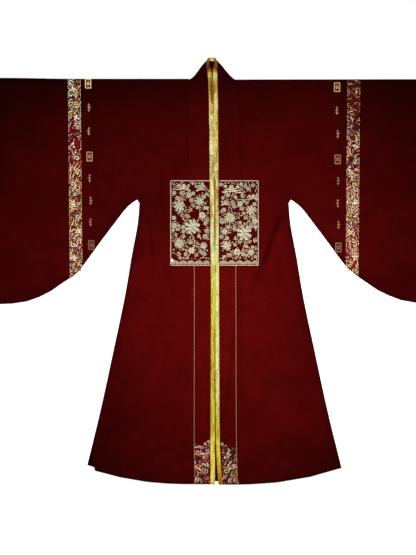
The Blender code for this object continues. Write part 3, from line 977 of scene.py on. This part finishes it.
def cloth_material(name, colour):
    """Matt crepe: a soft mottle, uneven threads and a little red sheen, darkened and lightened by the
    painted shade and light in the tone attribute.
    """
    nodes = Nodes(name)
    # The tone attribute carries painted shade and light: streaks along creases, broad areas and the outer
    # edges
    tone = nodes.attribute("tone")
    for scale, detail, stretch, amount in MOTTLES:
        mottle = nodes.span(nodes.noise(scale, detail, 0.5, stretch), 0.3, 0.7, 1 - amount, 1 + amount)
        tone = nodes.math("MULTIPLY", tone, mottle)
    light = nodes.add("CombineColor", {"Red": tone, "Green": tone, "Blue": tone})
    nodes.bump(weave(nodes), 0.3, 0.0004)
    return nodes.finish(
        Base_Color=nodes.blend(colour, light.outputs["Color"], 1.0, "MULTIPLY"),
        Roughness=0.9, Specular_IOR_Level=0.03,
        Sheen_Weight=0.03, Sheen_Roughness=0.5, Sheen_Tint=(0.7, 0.05, 0.06),
    )


BLUSH_THREAD = (0.95, 0.70, 0.42)
# Painted highlight, and thread colours under painted shade, both set by the tone attribute
PAINTED_HIGHLIGHT = (1.0, 0.96, 0.62)
THREAD_IN_PAINTED_SHADE = ((0.0, (0.34, 0.12, 0.01)), (0.5, (0.70, 0.43, 0.11)), (1.0, (1.0, 1.0, 1.0)))
LOZENGES = ((0.0, (0.70, 0.62, 0.5)), (0.5, (1.0, 1.0, 1.0)))


def edging_material(name, tones):
    """Gold brocade ribbon: broken patches of darker and paler thread that change along the opening,
    darkened towards brown by painted shade and paled by a painted highlight, both from the tone attribute.
    """
    nodes = Nodes(name)
    y = nodes.add("SeparateXYZ", {"Vector": nodes.place}).outputs["Y"]
    height = nodes.span(y, HEM_Y, CAD_HIGH.y)
    dark = nodes.ramp(height, [(place, dark) for place, dark, pale in tones])
    pale = nodes.ramp(height, [(place, pale) for place, dark, pale in tones])
    long = nodes.span(nodes.noise(70.0, 2.0, 0.5, (1.6, 0.35, 1.0)), 0.36, 0.64)
    short = nodes.span(nodes.noise(230.0, 2.0, 0.6, (1.0, 0.7, 1.0)), 0.35, 0.65)
    share = nodes.math("ADD", nodes.math("MULTIPLY", long, 0.55), nodes.math("MULTIPLY", short, 0.45))
    tone = nodes.blend(dark, pale, nodes.span(share, 0.22, 0.72))
    blush = nodes.span(nodes.noise(120.0, 1.0, 0.5, (1.0, 0.5, 1.0)), 0.58, 0.74, 0.0, 0.25)
    tone = nodes.blend(tone, BLUSH_THREAD, blush)
    slant = nodes.wave(64.0, "DIAGONAL", 0.6)
    other = nodes.wave(64.0, "X", 0.6, nodes.stretched((1.0, 1.0, 1.0), math.radians(45)))
    lozenge = nodes.math("MULTIPLY", slant, other)
    tone = nodes.blend(tone, nodes.ramp(lozenge, LOZENGES), 0.6, "MULTIPLY")
    # The tone attribute carries painted shade (below 1) and painted highlight (above 1.05)
    level = nodes.attribute("tone")
    painted_shade = nodes.ramp(nodes.span(level, 0.3, 1.0), THREAD_IN_PAINTED_SHADE)
    tone = nodes.blend(tone, painted_shade, 1.0, "MULTIPLY")
    tone = nodes.blend(tone, PAINTED_HIGHLIGHT, nodes.span(level, 1.05, 1.6))
    nodes.bump(lozenge, 0.2, 0.0004)
    return nodes.finish(Base_Color=tone, Metallic=0.8, Roughness=0.38, Specular_IOR_Level=0.4)


# The threads' small sparkle, their broad tints, and the gaps between stitches
THREAD_SPARKLE = ((0.0, (0.7, 0.68, 0.66)), (1.0, (1.25, 1.25, 1.25)))
THREAD_TINTS = ((0.0, (1.06, 0.98, 0.88)), (1.0, (0.90, 0.98, 0.98)))
THREAD_GAPS = ((0.0, (0.72, 0.66, 0.62)), (0.35, (1.0, 1.0, 1.0)))


def thread_material(name, metallic, roughness, gap):
    """Satin stitch: each thread a fine line across the shape, with dark gaps between threads."""
    nodes = Nodes(name)
    vector = nodes.add("CombineXYZ", {"X": nodes.attribute("grain")})
    lines = nodes.wave(480.0, "X", 0.0, vector.outputs["Vector"])
    sparkle = nodes.ramp(nodes.span(nodes.noise(260.0, 2.0), 0.3, 0.7), THREAD_SPARKLE)
    base = nodes.blend(nodes.attribute("shade", "Color"), sparkle, 1.0, "MULTIPLY")
    tint = nodes.ramp(nodes.span(nodes.noise(45.0, 2.0), 0.35, 0.65), THREAD_TINTS)
    base = nodes.blend(base, tint, 1.0, "MULTIPLY")
    base = nodes.blend(base, nodes.ramp(lines, THREAD_GAPS), gap, "MULTIPLY")
    nodes.bump(lines, 0.4, 0.00005)
    return nodes.finish(Base_Color=base, Metallic=metallic, Roughness=roughness, Specular_IOR_Level=0.5)


def pearl_material(name, dark, pale):
    """Cloudy, coated beads."""
    nodes = Nodes(name)
    base = nodes.ramp(nodes.noise(300.0, 2.0), ((0.3, dark), (0.7, pale)))
    nodes.bump(nodes.noise(500.0, 2.0), 0.1, 0.0001)
    return nodes.finish(Base_Color=base, Roughness=0.2, Coat_Weight=0.5, Coat_Roughness=0.1)


CLOTH_RED = cloth_material("red_crepe", (0.072, 0.0014, 0.0015))
# The same crepe painted darker: painted shade where the back and collar layers show through gaps
INSIDE_RED_SHADED = cloth_material("inside_crepe_shaded", (0.040, 0.0010, 0.0017))
BADGE_GROUND = cloth_material("badge_ground", (0.066, 0.0016, 0.0018))
BROCADE_GROUND = cloth_material("brocade_ground", (0.200, 0.006, 0.009))
GOLD_LEFT = edging_material("gold_brocade_left", (
    (0.00, (0.60, 0.38, 0.05), (0.96, 0.92, 0.22)),
    (0.06, (0.60, 0.44, 0.04), (0.90, 0.88, 0.14)),
    (0.16, (0.46, 0.30, 0.01), (0.67, 0.65, 0.05)),
    (0.25, (0.38, 0.24, 0.00), (0.54, 0.50, 0.01)),
    (0.35, (0.42, 0.26, 0.00), (0.62, 0.58, 0.02)),
    (0.47, (0.48, 0.38, 0.01), (0.80, 0.85, 0.18)),
    (0.56, (0.40, 0.38, 0.14), (0.82, 0.84, 0.44)),
    (0.64, (0.40, 0.38, 0.12), (0.90, 0.92, 0.42)),
    (0.84, (0.30, 0.16, 0.01), (0.90, 0.84, 0.40)),
    (0.90, (0.38, 0.18, 0.00), (0.84, 0.74, 0.24)),
    (0.95, (0.32, 0.22, 0.00), (0.84, 0.82, 0.22)),
    (0.975, (0.18, 0.08, 0.00), (0.62, 0.48, 0.02)),
    (1.00, (0.56, 0.38, 0.02), (0.80, 0.72, 0.14)),
))
GOLD_RIGHT = edging_material("gold_brocade_right", (
    (0.00, (0.38, 0.11, 0.00), (0.56, 0.28, 0.00)),
    (0.04, (0.36, 0.12, 0.00), (0.60, 0.36, 0.01)),
    (0.07, (0.42, 0.20, 0.00), (0.80, 0.66, 0.05)),
    (0.14, (0.40, 0.30, 0.01), (0.60, 0.58, 0.06)),
    (0.26, (0.52, 0.46, 0.06), (0.80, 0.82, 0.40)),
    (0.38, (0.46, 0.46, 0.05), (0.72, 0.80, 0.36)),
    (0.48, (0.40, 0.38, 0.04), (0.70, 0.74, 0.24)),
    (0.58, (0.42, 0.38, 0.10), (0.80, 0.82, 0.42)),
    (0.68, (0.30, 0.20, 0.03), (0.72, 0.66, 0.26)),
    (0.75, (0.44, 0.34, 0.05), (0.96, 0.92, 0.40)),
    (0.82, (0.38, 0.22, 0.01), (0.86, 0.74, 0.14)),
    (0.90, (0.42, 0.32, 0.03), (0.88, 0.82, 0.32)),
    (0.95, (0.36, 0.26, 0.00), (0.84, 0.82, 0.28)),
    (0.975, (0.20, 0.09, 0.00), (0.66, 0.50, 0.04)),
    (1.00, (0.56, 0.36, 0.02), (0.80, 0.70, 0.16)),
))
SILK_THREAD = thread_material("silk_thread", 0.6, 0.42, 0.7)
METAL_THREAD = thread_material("metal_thread", 0.9, 0.28, 0.3)
PEARL_FINISH = pearl_material("pearl", (0.84, 0.80, 0.70), (0.94, 0.92, 0.86))
SEED_PEARL_FINISH = pearl_material("seed_pearl", (0.40, 0.30, 0.16), (0.72, 0.64, 0.44))


def raised(xy):
    """Top of the trim that lies on the front layer."""
    return front_height(xy) + TRIM_GAP + TRIM


def puckered(xy):
    """Top of the gold edging, a narrow folded strip: the trim's top with a small rippling noise."""
    ripple = [noise.noise((x * 60, y * 75, 5.0)) for x, y in xy]
    return raised(xy) + 0.0006 * (0.5 + 0.5 * np.array(ripple))


def level_at(height):
    return lambda xy: np.full(len(xy), height)


def make_cloth_pieces():
    """The cloth itself, one thin shell for each solid."""
    spacing = 0.006 if FINE else 0.012
    inside = level_at(CLOTH), CLOTH, INSIDE_RED_SHADED, "red_cloth"
    outside = front_height, CLOTH, CLOTH_RED, "red_cloth"
    back = make_shell("back_cloth", "back", 0.0005, 0.014, *inside)
    collar = make_shell("collar_cloth", "collar_back", 0.0005, 0.005, *inside)
    gold = level_at(FRONT_TOP - 0.0004), TRIM, GOLD_LEFT, "gold_edging"
    edge = make_shell("collar_edging", "edging_back", 0.002, 0.002, *gold)
    for label, side in SIDES:
        def shell(kind, level, reach, *form, **more):
            return make_shell(f"{kind}_cloth_{label}", f"{kind}_{label}", level, reach, *form, **more)

        front = shell("front", 0.002, spacing, *outside, lip=True)
        sleeve = make_tube("sleeve_cloth_" + label, "sleeve_" + label, 1.5 * spacing, side, CLOTH_RED)
        band = shell("band", 0.002, 0.8 * spacing, *outside, tone=BAND_TONE)
        gold = GOLD_LEFT if side < 0 else GOLD_RIGHT
        edging = shell("edging", 0.004, 0.0022, puckered, TRIM, gold, "gold_edging")
        badge = shell("badge", 0.004, 0.006, raised, TRIM, BADGE_GROUND, "badge")
        brocade = shell("brocade", 0.004, 0.005, raised, TRIM, BROCADE_GROUND, "brocade")


# The chest square's motifs: distance out from the opening, height above its foot, size
PEONIES = {
    -1: ((0.060, 0.128, 0.025), (0.102, 0.196, 0.020), (0.036, 0.212, 0.015)),
    1: ((0.084, 0.108, 0.026), (0.026, 0.066, 0.016), (0.106, 0.182, 0.017)),
}
DAISIES = {
    -1: ((0.102, 0.074, 0.019), (0.022, 0.066, 0.013)),
    1: ((0.036, 0.158, 0.021), (0.106, 0.044, 0.013)),
}
SMALL_BLOSSOMS = {
    -1: ((0.026, 0.166, 0.011), (0.118, 0.132, 0.009), (0.062, 0.050, 0.011), (0.070, 0.232, 0.009)),
    1: ((0.118, 0.146, 0.010), (0.060, 0.046, 0.011), (0.020, 0.112, 0.009), (0.070, 0.204, 0.009)),
}
# Its clouds, in the same terms: place, length, height, lean
CLOUDS = {
    -1: (
        (0.094, 0.259, 0.060, 0.019, 0.05),
        (0.028, 0.256, 0.042, 0.016, -0.08),
        (0.016, 0.190, 0.024, 0.011, 0.10),
    ),
    1: (
        (0.050, 0.252, 0.078, 0.022, -0.04),
        (0.108, 0.226, 0.044, 0.016, 0.08),
        (0.024, 0.206, 0.034, 0.013, 0.00),
    ),
}
# Its branches, by the places that each passes
BRANCHES = {
    -1: (
        ((0.080, 0.020), (0.052, 0.070), (0.064, 0.110), (0.090, 0.160), (0.104, 0.190)),
        ((0.062, 0.112), (0.036, 0.160), (0.036, 0.205)),
        ((0.066, 0.048), (0.098, 0.060), (0.106, 0.074)),
        ((0.052, 0.066), (0.030, 0.060)),
    ),
    1: (
        ((0.054, 0.020), (0.082, 0.060), (0.084, 0.104), (0.060, 0.140), (0.036, 0.158)),
        ((0.074, 0.124), (0.100, 0.150), (0.106, 0.180)),
        ((0.066, 0.036), (0.040, 0.046), (0.026, 0.064)),
        ((0.078, 0.050), (0.104, 0.044)),
    ),
}
WAVE_HEIGHT = 0.017
GROWTH = {-1: -0.15, 1: -0.23}     # the lower, the more of a half is overgrown
# Its smallest shapes, curls and then leaves: tries, radius, overlap
SMALL_SHAPES = ((700, 0.0044, 0.05), (2400, 0.0034, 0.10), (2000, 0.0022, 0.05))


def curve_through(points, steps=8):
    """A smooth line through a few places."""
    points = [np.array(p) for p in points]
    points = [2 * points[0] - points[1], *points, 2 * points[-1] - points[-2]]
    line = []
    for a, b, c, d in zip(points, points[1:], points[2:], points[3:]):
        for k in range(steps):
            t = k / steps
            square, cube = 2 * a - 5 * b + 4 * c - d, 3 * b - a - 3 * c + d
            line.append(tuple(0.5 * (2 * b + (c - a) * t + square * t ** 2 + cube * t ** 3)))
    return line + [tuple(points[-2])]


def badge_half(label, side):
    """One half of the chest square: flowering branches under clouds, over a band of waves."""
    low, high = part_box("badge_" + label)
    box = (low.x, low.y), (high.x, high.y)
    work = Needlework(11 if side < 0 else 12)
    inner = high.x if side < 0 else low.x
    width = high.x - low.x

    def at(u, v):
        """A place by its distance out from the opening and up from the bottom."""
        return inner + side * u, low.y + v

    margin = 0.0019
    far, top = width - margin, high.y - low.y - margin
    corners = [np.array(at(u, v)) for u, v in ((0.0, margin), (far, margin), (far, top), (0.0, top))]
    for a, b in zip(corners, corners[1:]):
        count = max(2, int(math.dist(a, b) / 0.004))
        path = [tuple(mix(a, b, k / count)) for k in range(count + 1)]
        work.stem(path, 0.0028, SILVER, 0.0009, taper=1.0)
        work.keep_all(path, 0.0024)
    turn = 0.4
    for draw, flowers in ((work.peony, PEONIES), (work.daisy, DAISIES)):
        for u, v, size in flowers[side]:
            draw(at(u, v), size, SILVER, PALE_GOLD, turn)
            turn += 1.3
    for u, v, size in SMALL_BLOSSOMS[side]:
        work.blossom(at(u, v), size, 6, SILVER, OLD_GOLD, turn)
        work.keep(at(u, v), size * 0.95)
        turn += 1.3
    for k, (u, v, length, tall, lean) in enumerate(CLOUDS[side]):
        work.cloud_bank(at(u, v), length, tall, side * lean, SILVER, side * (-1) ** k)
    sea = (low.x + 0.0032, low.y + 0.0032), (high.x - 0.0025, low.y + WAVE_HEIGHT)
    work.waves(*sea, 0.026, SILVER)
    for k in range(int(width / 0.006)):
        work.keep(at(0.006 * k, WAVE_HEIGHT - 0.006), 0.0085)
    for points in BRANCHES[side]:
        line = curve_through([at(u, v) for u, v in points])
        work.stem(line, 0.0030, CHAMPAGNE, 0.0007)
        work.keep_all(line[::2], 0.0016)

    def field(x, y):
        """The direction in which leaves grow at a place."""
        return math.pi / 2 + 3.6 * noise.noise((x / 0.07, y / 0.07, 8.0 + side))

    def grown(x, y):
        """Growth comes in drifts, with bare cloth between them."""
        inside = low.x + 0.006 < x < high.x - 0.004 and low.y + 0.012 < y < high.y - 0.006
        return inside and noise.noise((x / 0.036, y / 0.036, 3.0 + side)) > GROWTH[side]

    def frond(path):
        shade = CHAMPAGNE if work.random.random() < 0.5 else SILVER
        work.frond(path, 0.0105, CHAMPAGNE, shade)

    def small_frond(path):
        work.frond(path, 0.0072, CHAMPAGNE, SILVER)

    def curl(centre, radius, turn):
        work.scroll(centre, radius * 0.8, 1.1, turn, 0.0018, CHAMPAGNE, 1 if turn > math.pi else -1)

    def small_blossom(centre, radius, turn):
        work.blossom(centre, radius, 5, SILVER, OLD_GOLD, turn, layers=1)

    def leaf(centre, radius, turn):
        work.leaflet(centre, radius, turn, 2.3, 0.9, SILVER)

    work.grow(*box, 700, 7, 0.0046, 0.0078, field, grown, frond)
    work.scatter(*box, 500, 0.0062, 0.05, small_blossom, grown)
    work.grow(*box, 900, 5, 0.0038, 0.0054, field, grown, small_frond)
    for (tries, radius, slack), draw in zip(SMALL_SHAPES, (curl, leaf, leaf)):
        work.scatter(*box, tries, radius, slack, draw, grown, field)
    return work.piece("badge_embroidery_" + label, Ground(*box), TRIM_GAP + TRIM, SILK_THREAD, "badge")


BROCADE_WIDTH = 0.042
BROCADE_FLOWERS = 0.093    # from one flower of the brocade bands to the next
STITCH = 0.0062            # from one edge stitch of the brocade bands to the next

# Threads of the brocade bands from the top down: share of the length where a stretch ends, threads
BROCADE_STRETCHES = {
    -1: (
        (0.24, (IVORY, BRIGHT_GOLD, IVORY, WINE, CREAM, OLD_GOLD, IVORY)),
        (0.36, (CREAM, WINE, BLUSH, CRIMSON, CREAM, INK)),
        (0.45, (CRIMSON, CREAM, WINE, ROSE, INK, CHAMPAGNE)),
        (0.58, (CHAMPAGNE, CREAM, INK, BLUSH, CREAM, BRIGHT_GOLD, WINE)),
        (0.76, (BRIGHT_GOLD, CREAM, CREAM, SLATE, CREAM, BRIGHT_GOLD, WINE)),
        (1.00, (CREAM, CREAM, BRIGHT_GOLD, CHAMPAGNE, CREAM, SLATE)),
    ),
    1: (
        (0.18, (OLD_GOLD, WINE, SLATE, INK, CHAMPAGNE, WINE)),
        (0.30, (CREAM, INK, WINE, CHAMPAGNE, SLATE, INK)),
        (0.52, (CREAM, INK, BRIGHT_GOLD, CREAM, SLATE, WINE)),
        (0.74, (CREAM, BRIGHT_GOLD, CHAMPAGNE, CREAM, SLATE, CREAM)),
        (1.00, (CREAM, BRIGHT_GOLD, CREAM, CRIMSON, CREAM, BRIGHT_GOLD)),
    ),
}


# Swirling bands, wide ones first: tries, steps, width, room as a share of the width
MARBLING = ((900, 8, 0.0046, 0.56), (1900, 6, 0.0034, 0.56), (3200, 4, 0.0024, 0.58))


def marbled(work, box, allowed, field, threads_at):
    """Fills an area with swirling bands of thread, and small leaves between, that turn with a field."""
    def band(width):
        def draw(path):
            tone = work.random.choice(threads_at(path[0][1]))
            work.stem(curve_through(path, 3), width, tone, 0.0009, taper=0.35)
        return draw

    def leaf(centre, radius, turn):
        work.leaflet(centre, radius, turn, 2.4, 1.15, work.random.choice(threads_at(centre[1])))

    for tries, steps, width, share in MARBLING:
        work.grow(*box, tries, steps, 0.0034, width * share, field, allowed, band(width))
    for tries, radius in ((2600, 0.0024), (3200, 0.0015)):
        work.scatter(*box, tries, radius, 0.16, leaf, allowed, field)


def brocade_figures(label, side):
    """The brocade band's figures: flowers and curls among swirling bands of many colours."""
    low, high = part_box("brocade_" + label)
    box = (low.x, low.y), (high.x, high.y)
    work = Needlework(31 if side < 0 else 32)
    length = high.y - low.y
    lean = (high.x - low.x) - BROCADE_WIDTH
    outer_top = max(abs(high.x), abs(low.x))

    def middle_at(y):
        """The band's middle leans inwards as it goes down."""
        return side * (outer_top - BROCADE_WIDTH / 2 - lean * (high.y - y) / length)

    def foot(x):
        """Height of the band's slanted lower end."""
        share = (abs(x) - min(abs(low.x), abs(high.x))) / (high.x - low.x)
        return mix(low.y + 0.020, low.y, share)

    def allowed(x, y):
        return abs(x - middle_at(y)) < 0.0188 and foot(x) + 0.003 < y < high.y - 0.001

    def field(x, y):
        return 5.5 * noise.noise((x / 0.034, y / 0.045, 12.0 * side)) + 1.2

    def threads_at(y):
        """The threads of the stretch at a height."""
        share = (high.y - y) / length
        return next(threads for end, threads in BROCADE_STRETCHES[side] if share <= end + 0.01)

    for k in range(int((length - 0.03) / BROCADE_FLOWERS) + 1):
        y = high.y - 0.030 - BROCADE_FLOWERS * k + work.random.uniform(-0.006, 0.006)
        hand = 1 if (k + (side > 0)) % 2 else -1
        work.whorl((middle_at(y) + hand * 0.0075, y), 0.0108, threads_at(y), hand, k)
        y -= BROCADE_FLOWERS * 0.46
        curl = (middle_at(y) - hand * 0.0070, y)
        if y > low.y + 0.035:
            work.scroll(curl, 0.0088, 1.3, 1.7 * k, 0.0032, threads_at(y)[1], hand)
            work.keep(curl, 0.0090)
    marbled(work, box, allowed, field, threads_at)
    for hand in (-1, 1):
        for k in range(int(length / STITCH)):
            y = low.y + STITCH * (k + work.random.uniform(-0.15, 0.15))
            x = middle_at(y) + hand * 0.0198
            if y > foot(x) + 0.001 and y < high.y - STITCH and work.random.random() < 0.8:
                tone = work.random.choice((CREAM, CHAMPAGNE, threads_at(y)[0]))
                tilt = math.pi / 2 + work.random.uniform(-0.12, 0.12)
                work.blade((x, y), tilt, STITCH * 0.85, 0.0019, tone, 0.0006, steps=3)
    ground = Ground(*box, 0.004)
    return work.piece("brocade_figures_" + label, ground, TRIM_GAP + TRIM, METAL_THREAD, "brocade")


# Hem ornaments: inner and outer distance from the middle, top beside the edging, drop, and the
# threads of the upper and the lower half
HEM_ORNAMENT = {
    -1: (
        -0.0135, -0.0665, -0.5620, 0.0090,
        (ROSE, BLUSH, CRIMSON, IVORY, WINE, ROSE), (IVORY, CRIMSON, ORANGE, WINE, ROSE),
    ),
    1: (
        0.0260, 0.0765, -0.5740, 0.0130,
        (BLUSH, INK, CRIMSON, CREAM, SLATE, WINE), (ORANGE, BLUSH, INK, WINE, IVORY),
    ),
}


def hem_ornament(label, side):
    """Embroidery at the foot of a front band: flowers and curls among bands, uneven along its top."""
    inner, outer, top, drop, upper, lower = HEM_ORNAMENT[side]
    low = min(inner, outer), HEM_Y + 0.003
    right = max(inner, outer)
    work = Needlework(51 if side < 0 else 52)

    def allowed(x, y):
        share = abs(x - inner) / abs(outer - inner)
        lean = 0.004 * (1 - (y - low[1]) / (top - low[1])) * (1 if side > 0 else 0.3)
        ceiling = top - drop * share + 0.004 * math.sin(share * 9)
        across = abs(inner) - 0.002 + lean < abs(x) < abs(outer) - 0.001
        return across and low[1] + 0.002 < y < ceiling

    def at(u, v):
        return mix(inner, outer, u), low[1] + v

    def field(x, y):
        return 5.0 * noise.noise((x / 0.036, y / 0.040, 20.0 + side)) + 0.9

    def threads_at(y):
        return upper if y > mix(low[1], top, 0.5) else lower

    work.whorl(at(0.34, 0.094), 0.0135, upper, side, 0.5, petals=7)
    work.whorl(at(0.68, 0.056), 0.0125, upper, -side, 1.7, petals=7)
    work.scroll(at(0.74, 0.104), 0.0105, 1.6, 0.8, 0.0034, upper[1], side)
    work.keep(at(0.74, 0.104), 0.0112)
    work.scroll(at(0.28, 0.044), 0.0115, 1.6, 2.2, 0.0032, CHAMPAGNE, -side)
    work.keep(at(0.28, 0.044), 0.0122)
    marbled(work, (low, (right, top + 0.01)), allowed, field, threads_at)
    ground = Ground(low, (right, top + 0.02), 0.004)
    return work.piece("hem_embroidery_" + label, ground, TRIM_GAP, SILK_THREAD, "badge")


def tile(work, centre, light):
    """A small upright tile: a gold frame about a wine ground with one flower."""
    x, y = centre
    flower = tinted(CREAM, light)
    wide, tall = TILE
    rows = []
    for v in np.linspace(-0.5, 0.5, 9):
        row = []
        for u in np.linspace(-0.5, 0.5, 7):
            edge = max(abs(u), abs(v)) > 0.49
            row.append((x + u * wide, y + v * tall, 0.0 if edge else 0.0003, WINE, v * tall))
        rows.append(row)
    work.patch(rows)
    u, v = wide * 0.43, tall * 0.45
    corners = [(x - u, y - v), (x + u, y - v), (x + u, y + v), (x - u, y + v)]
    for a, b in zip(corners, corners[1:] + corners[:1]):
        path = [(mix(a[0], b[0], t), mix(a[1], b[1], t)) for t in (0, 0.02, 0.25, 0.5, 0.75, 0.98, 1)]
        work.stem(path, 0.0034, tinted(BRIGHT_GOLD, light), 0.0009, taper=1.0)
    work.blossom(centre, wide * 0.27, 4, flower, OLD_GOLD, math.pi / 4, layers=1)
    for hand in (-1, 1):
        work.knot((x, y + hand * tall * 0.30), wide * 0.07, flower)


def sprig(work, centre, variety, light):
    """A small sprig: a stalk with pairs of narrow leaves and a bud."""
    x, y = centre
    leaf = tinted(SPRIG_LEAF, light)
    tall = SPRIG_HEIGHT
    bend = 0.07 * (1 if variety % 2 else -1)
    path = [(x + bend * tall * math.sin(math.pi * k / 6), y + (k / 6 - 0.5) * tall) for k in range(7)]
    work.stem(path, 0.0019, tinted(SPRIG_STALK, light), taper=0.7)
    for step, size in ((1, 0.20), (3, 0.25), (5, 0.17)):
        for hand in (-1, 1):
            lean = math.pi / 2 - hand * (0.95 + 0.1 * (variety % 3))
            work.blade(path[step], lean, tall * size, tall * 0.062, leaf, curve=hand * 0.7)
    work.knot(path[-1], 0.0015, leaf)


def column_of_ornaments(label, side):
    """The tiles and sprigs beside a brocade band."""
    top, low = COLUMNS[side]
    left, right = sorted((top[0], low[0]))
    ground = Ground((left - 0.02, low[1] - 0.02), (right + 0.02, top[1] + 0.02), 0.005)
    work = Needlework(71)
    for k, (kind, share, light) in enumerate(zip(COLUMN_ROW, COLUMN_SHARES, COLUMN_LIGHTS[side])):
        centre = mix(top[0], low[0], share), mix(top[1], low[1], share)
        if kind == "tile":
            tile(work, centre, light)
        else:
            sprig(work, centre, k + (side > 0), light)
    return work.piece("tiles_and_sprigs_" + label, ground, TRIM_GAP, METAL_THREAD, "brocade")


def tube_faces(start, rings, sides):
    """Faces of a tube of rings of points, closed at both ends."""
    faces = []
    for a in range(start, start + (rings - 1) * sides, sides):
        for j in range(sides):
            n = (j + 1) % sides
            faces.append((a + j, a + n, a + sides + n, a + sides + j))
    last = start + (rings - 1) * sides
    return faces + [[start + j for j in reversed(range(sides))], [last + j for j in range(sides)]]


STRAND = 0.00070           # radius of each strand of the gold cords
TWIST = 0.0042             # length of one twist
TWIST_STEPS = 6


def gold_cord(label):
    """Two gold strands twisted into a cord, laid where its solid lies."""
    points = np.array([v.co for v in NODES["piping_" + label].data.vertices])
    heights = np.unique(points[:, 1].round(4))
    middles = [points[abs(points[:, 1] - y) < 2e-4][:, 0].mean() for y in heights]
    steps = int((heights[-1] - heights[0]) / TWIST * TWIST_STEPS)
    ys = np.linspace(heights[0], heights[-1], steps + 1)
    xs = np.interp(ys, heights, middles)
    base = front_height(np.stack((xs, ys), axis=1)) + TRIM_GAP + 2 * STRAND
    sides = 5
    verts = []
    faces = []
    for hand in (0, 1):
        faces += tube_faces(len(verts), steps + 1, sides)
        for k in range(steps + 1):
            centre = around((xs[k], base[k]), STRAND, 2 * math.pi * k / TWIST_STEPS + hand * math.pi)
            for j in range(sides):
                x, z = around(centre, STRAND, 2 * math.pi * j / sides)
                verts.append((x, ys[k], z))
    grain = np.tile(np.repeat(np.arange(steps + 1) * TWIST / TWIST_STEPS, sides), 2)
    shades = [(*CORD_GOLD, 1.0)] * len(verts)
    return make_piece(
        "gold_cord_" + label, verts, faces, METAL_THREAD, "gold_cord", ("piping_" + label,),
        shade=shades, grain=grain,
    )


# Place, radius, and how many more lie around each pearl
PEARLS = (
    (-0.1380, 0.0350, 0.0056, 0),
    (-0.0175, -0.5600, 0.0022, 6),
    (0.0270, -0.5690, 0.0022, 6),
)
PEARL_RINGS = 7
PEARL_SIDES = 12


def pearls():
    """A pearl at a corner of the chest square, and two pearl flowers over the hem ornaments."""
    for number, (x, y, radius, count) in enumerate(PEARLS):
        turns = [2 * math.pi * k / count for k in range(count)]
        spots = [(x, y)] + [around((x, y), 1.7 * radius, turn) for turn in turns]
        heights = front_height(np.array(spots)) + (TRIM_GAP if count else TRIM + 2 * TRIM_GAP)
        size = radius * 0.85 if count else radius
        verts = []
        faces = []
        for spot, base in zip(spots, heights):
            faces += tube_faces(len(verts), PEARL_RINGS, PEARL_SIDES)
            for ring in range(1, PEARL_RINGS + 1):
                polar = math.pi * ring / (PEARL_RINGS + 1)
                height = base + size * 0.8 * (1 - math.cos(polar))
                for j in range(PEARL_SIDES):
                    turn = 2 * math.pi * j / PEARL_SIDES
                    verts.append((*around(spot, size * math.sin(polar), turn), height))
        finish = SEED_PEARL_FINISH if count else PEARL_FINISH
        make_piece(f"pearls_{number}", verts, faces, finish, "badge")


KEY_POWER = 8.3
SIDE_POWER = 15.0
OVERHEAD_POWER = 190.0
SURROUND = 0.35            # brightness of the surroundings, seen only by the gloss of threads and gold
FLOOR_REACH = 40.0
FLOOR_Z = -0.0006
VIEW_CENTRE = (-0.0198, -0.0215)
VIEW_HEIGHT = 1.8240       # of what the camera sees at the floor


def lamp(name, kind, power, place):
    """A lamp that lights the robe but isn't seen itself."""
    holder = link(bpy.data.objects.new(name, bpy.data.lights.new(name, kind)))
    holder.data.energy = power
    holder.location = place
    holder.visible_camera = False
    return holder


def make_floor():
    """A plain white floor just under the robe."""
    mesh = bpy.data.meshes.new("floor")
    corners = ((-1, -1), (1, -1), (1, 1), (-1, 1))
    mesh.from_pydata([(x * FLOOR_REACH, y * FLOOR_REACH, FLOOR_Z) for x, y in corners], [], [(0, 1, 2, 3)])
    floor = link(bpy.data.objects.new("floor", mesh))
    mesh.materials.append(Nodes("floor_white").finish(
        Base_Color=(0.9, 0.9, 0.9), Roughness=1.0, Specular_IOR_Level=0.0,
        Emission_Color=(1.0, 1.0, 1.0), Emission_Strength=0.97,
    ))


def make_lights():
    """A soft key lamp, a side lamp across the folds, an overhead disc for gloss, and the surroundings."""
    key = lamp("key", "AREA", KEY_POWER, (0.10, -0.09, 0.75))
    key.data.shape = "RECTANGLE"
    key.data.size = 0.40
    key.data.size_y = 0.12
    key.visible_glossy = False
    side = lamp("side", "SPOT", SIDE_POWER, (-0.50, 0.45, 1.00))
    side.data.spot_size = math.radians(118)
    side.data.spot_blend = 1.0
    side.data.shadow_soft_size = 0.10
    side.rotation_euler = (Vector((-0.15, -0.50, 0.0)) - side.location).to_track_quat("-Z", "Y").to_euler()
    side.visible_glossy = False
    overhead = lamp("overhead", "AREA", OVERHEAD_POWER, (0.0, 0.0, 6.5))
    overhead.data.shape = "DISK"
    overhead.data.size = 9.0
    overhead.visible_diffuse = False
    world = bpy.data.worlds.new("studio")
    bpy.context.scene.world = world
    world.use_nodes = True
    background = world.node_tree.nodes["Background"]
    background.inputs["Color"].default_value = (1.0, 1.0, 1.0, 1.0)
    background.inputs["Strength"].default_value = SURROUND
    world.cycles_visibility.diffuse = False


def make_camera():
    """The photograph's view, from straight above."""
    lens = bpy.data.cameras.new("camera")
    lens.lens = 100.0
    lens.sensor_width = 36.0
    camera = link(bpy.data.objects.new("camera", lens))
    camera.location = (*VIEW_CENTRE, VIEW_HEIGHT * lens.lens / lens.sensor_width)
    bpy.context.scene.camera = camera
    bpy.context.scene.view_settings.view_transform = "Standard"


make_cloth_pieces()
for label, side in SIDES:
    badge_half(label, side)
    brocade_figures(label, side)
    hem_ornament(label, side)
    column_of_ornaments(label, side)
    gold_cord(label)
pearls()
make_floor()
make_lights()
make_camera()
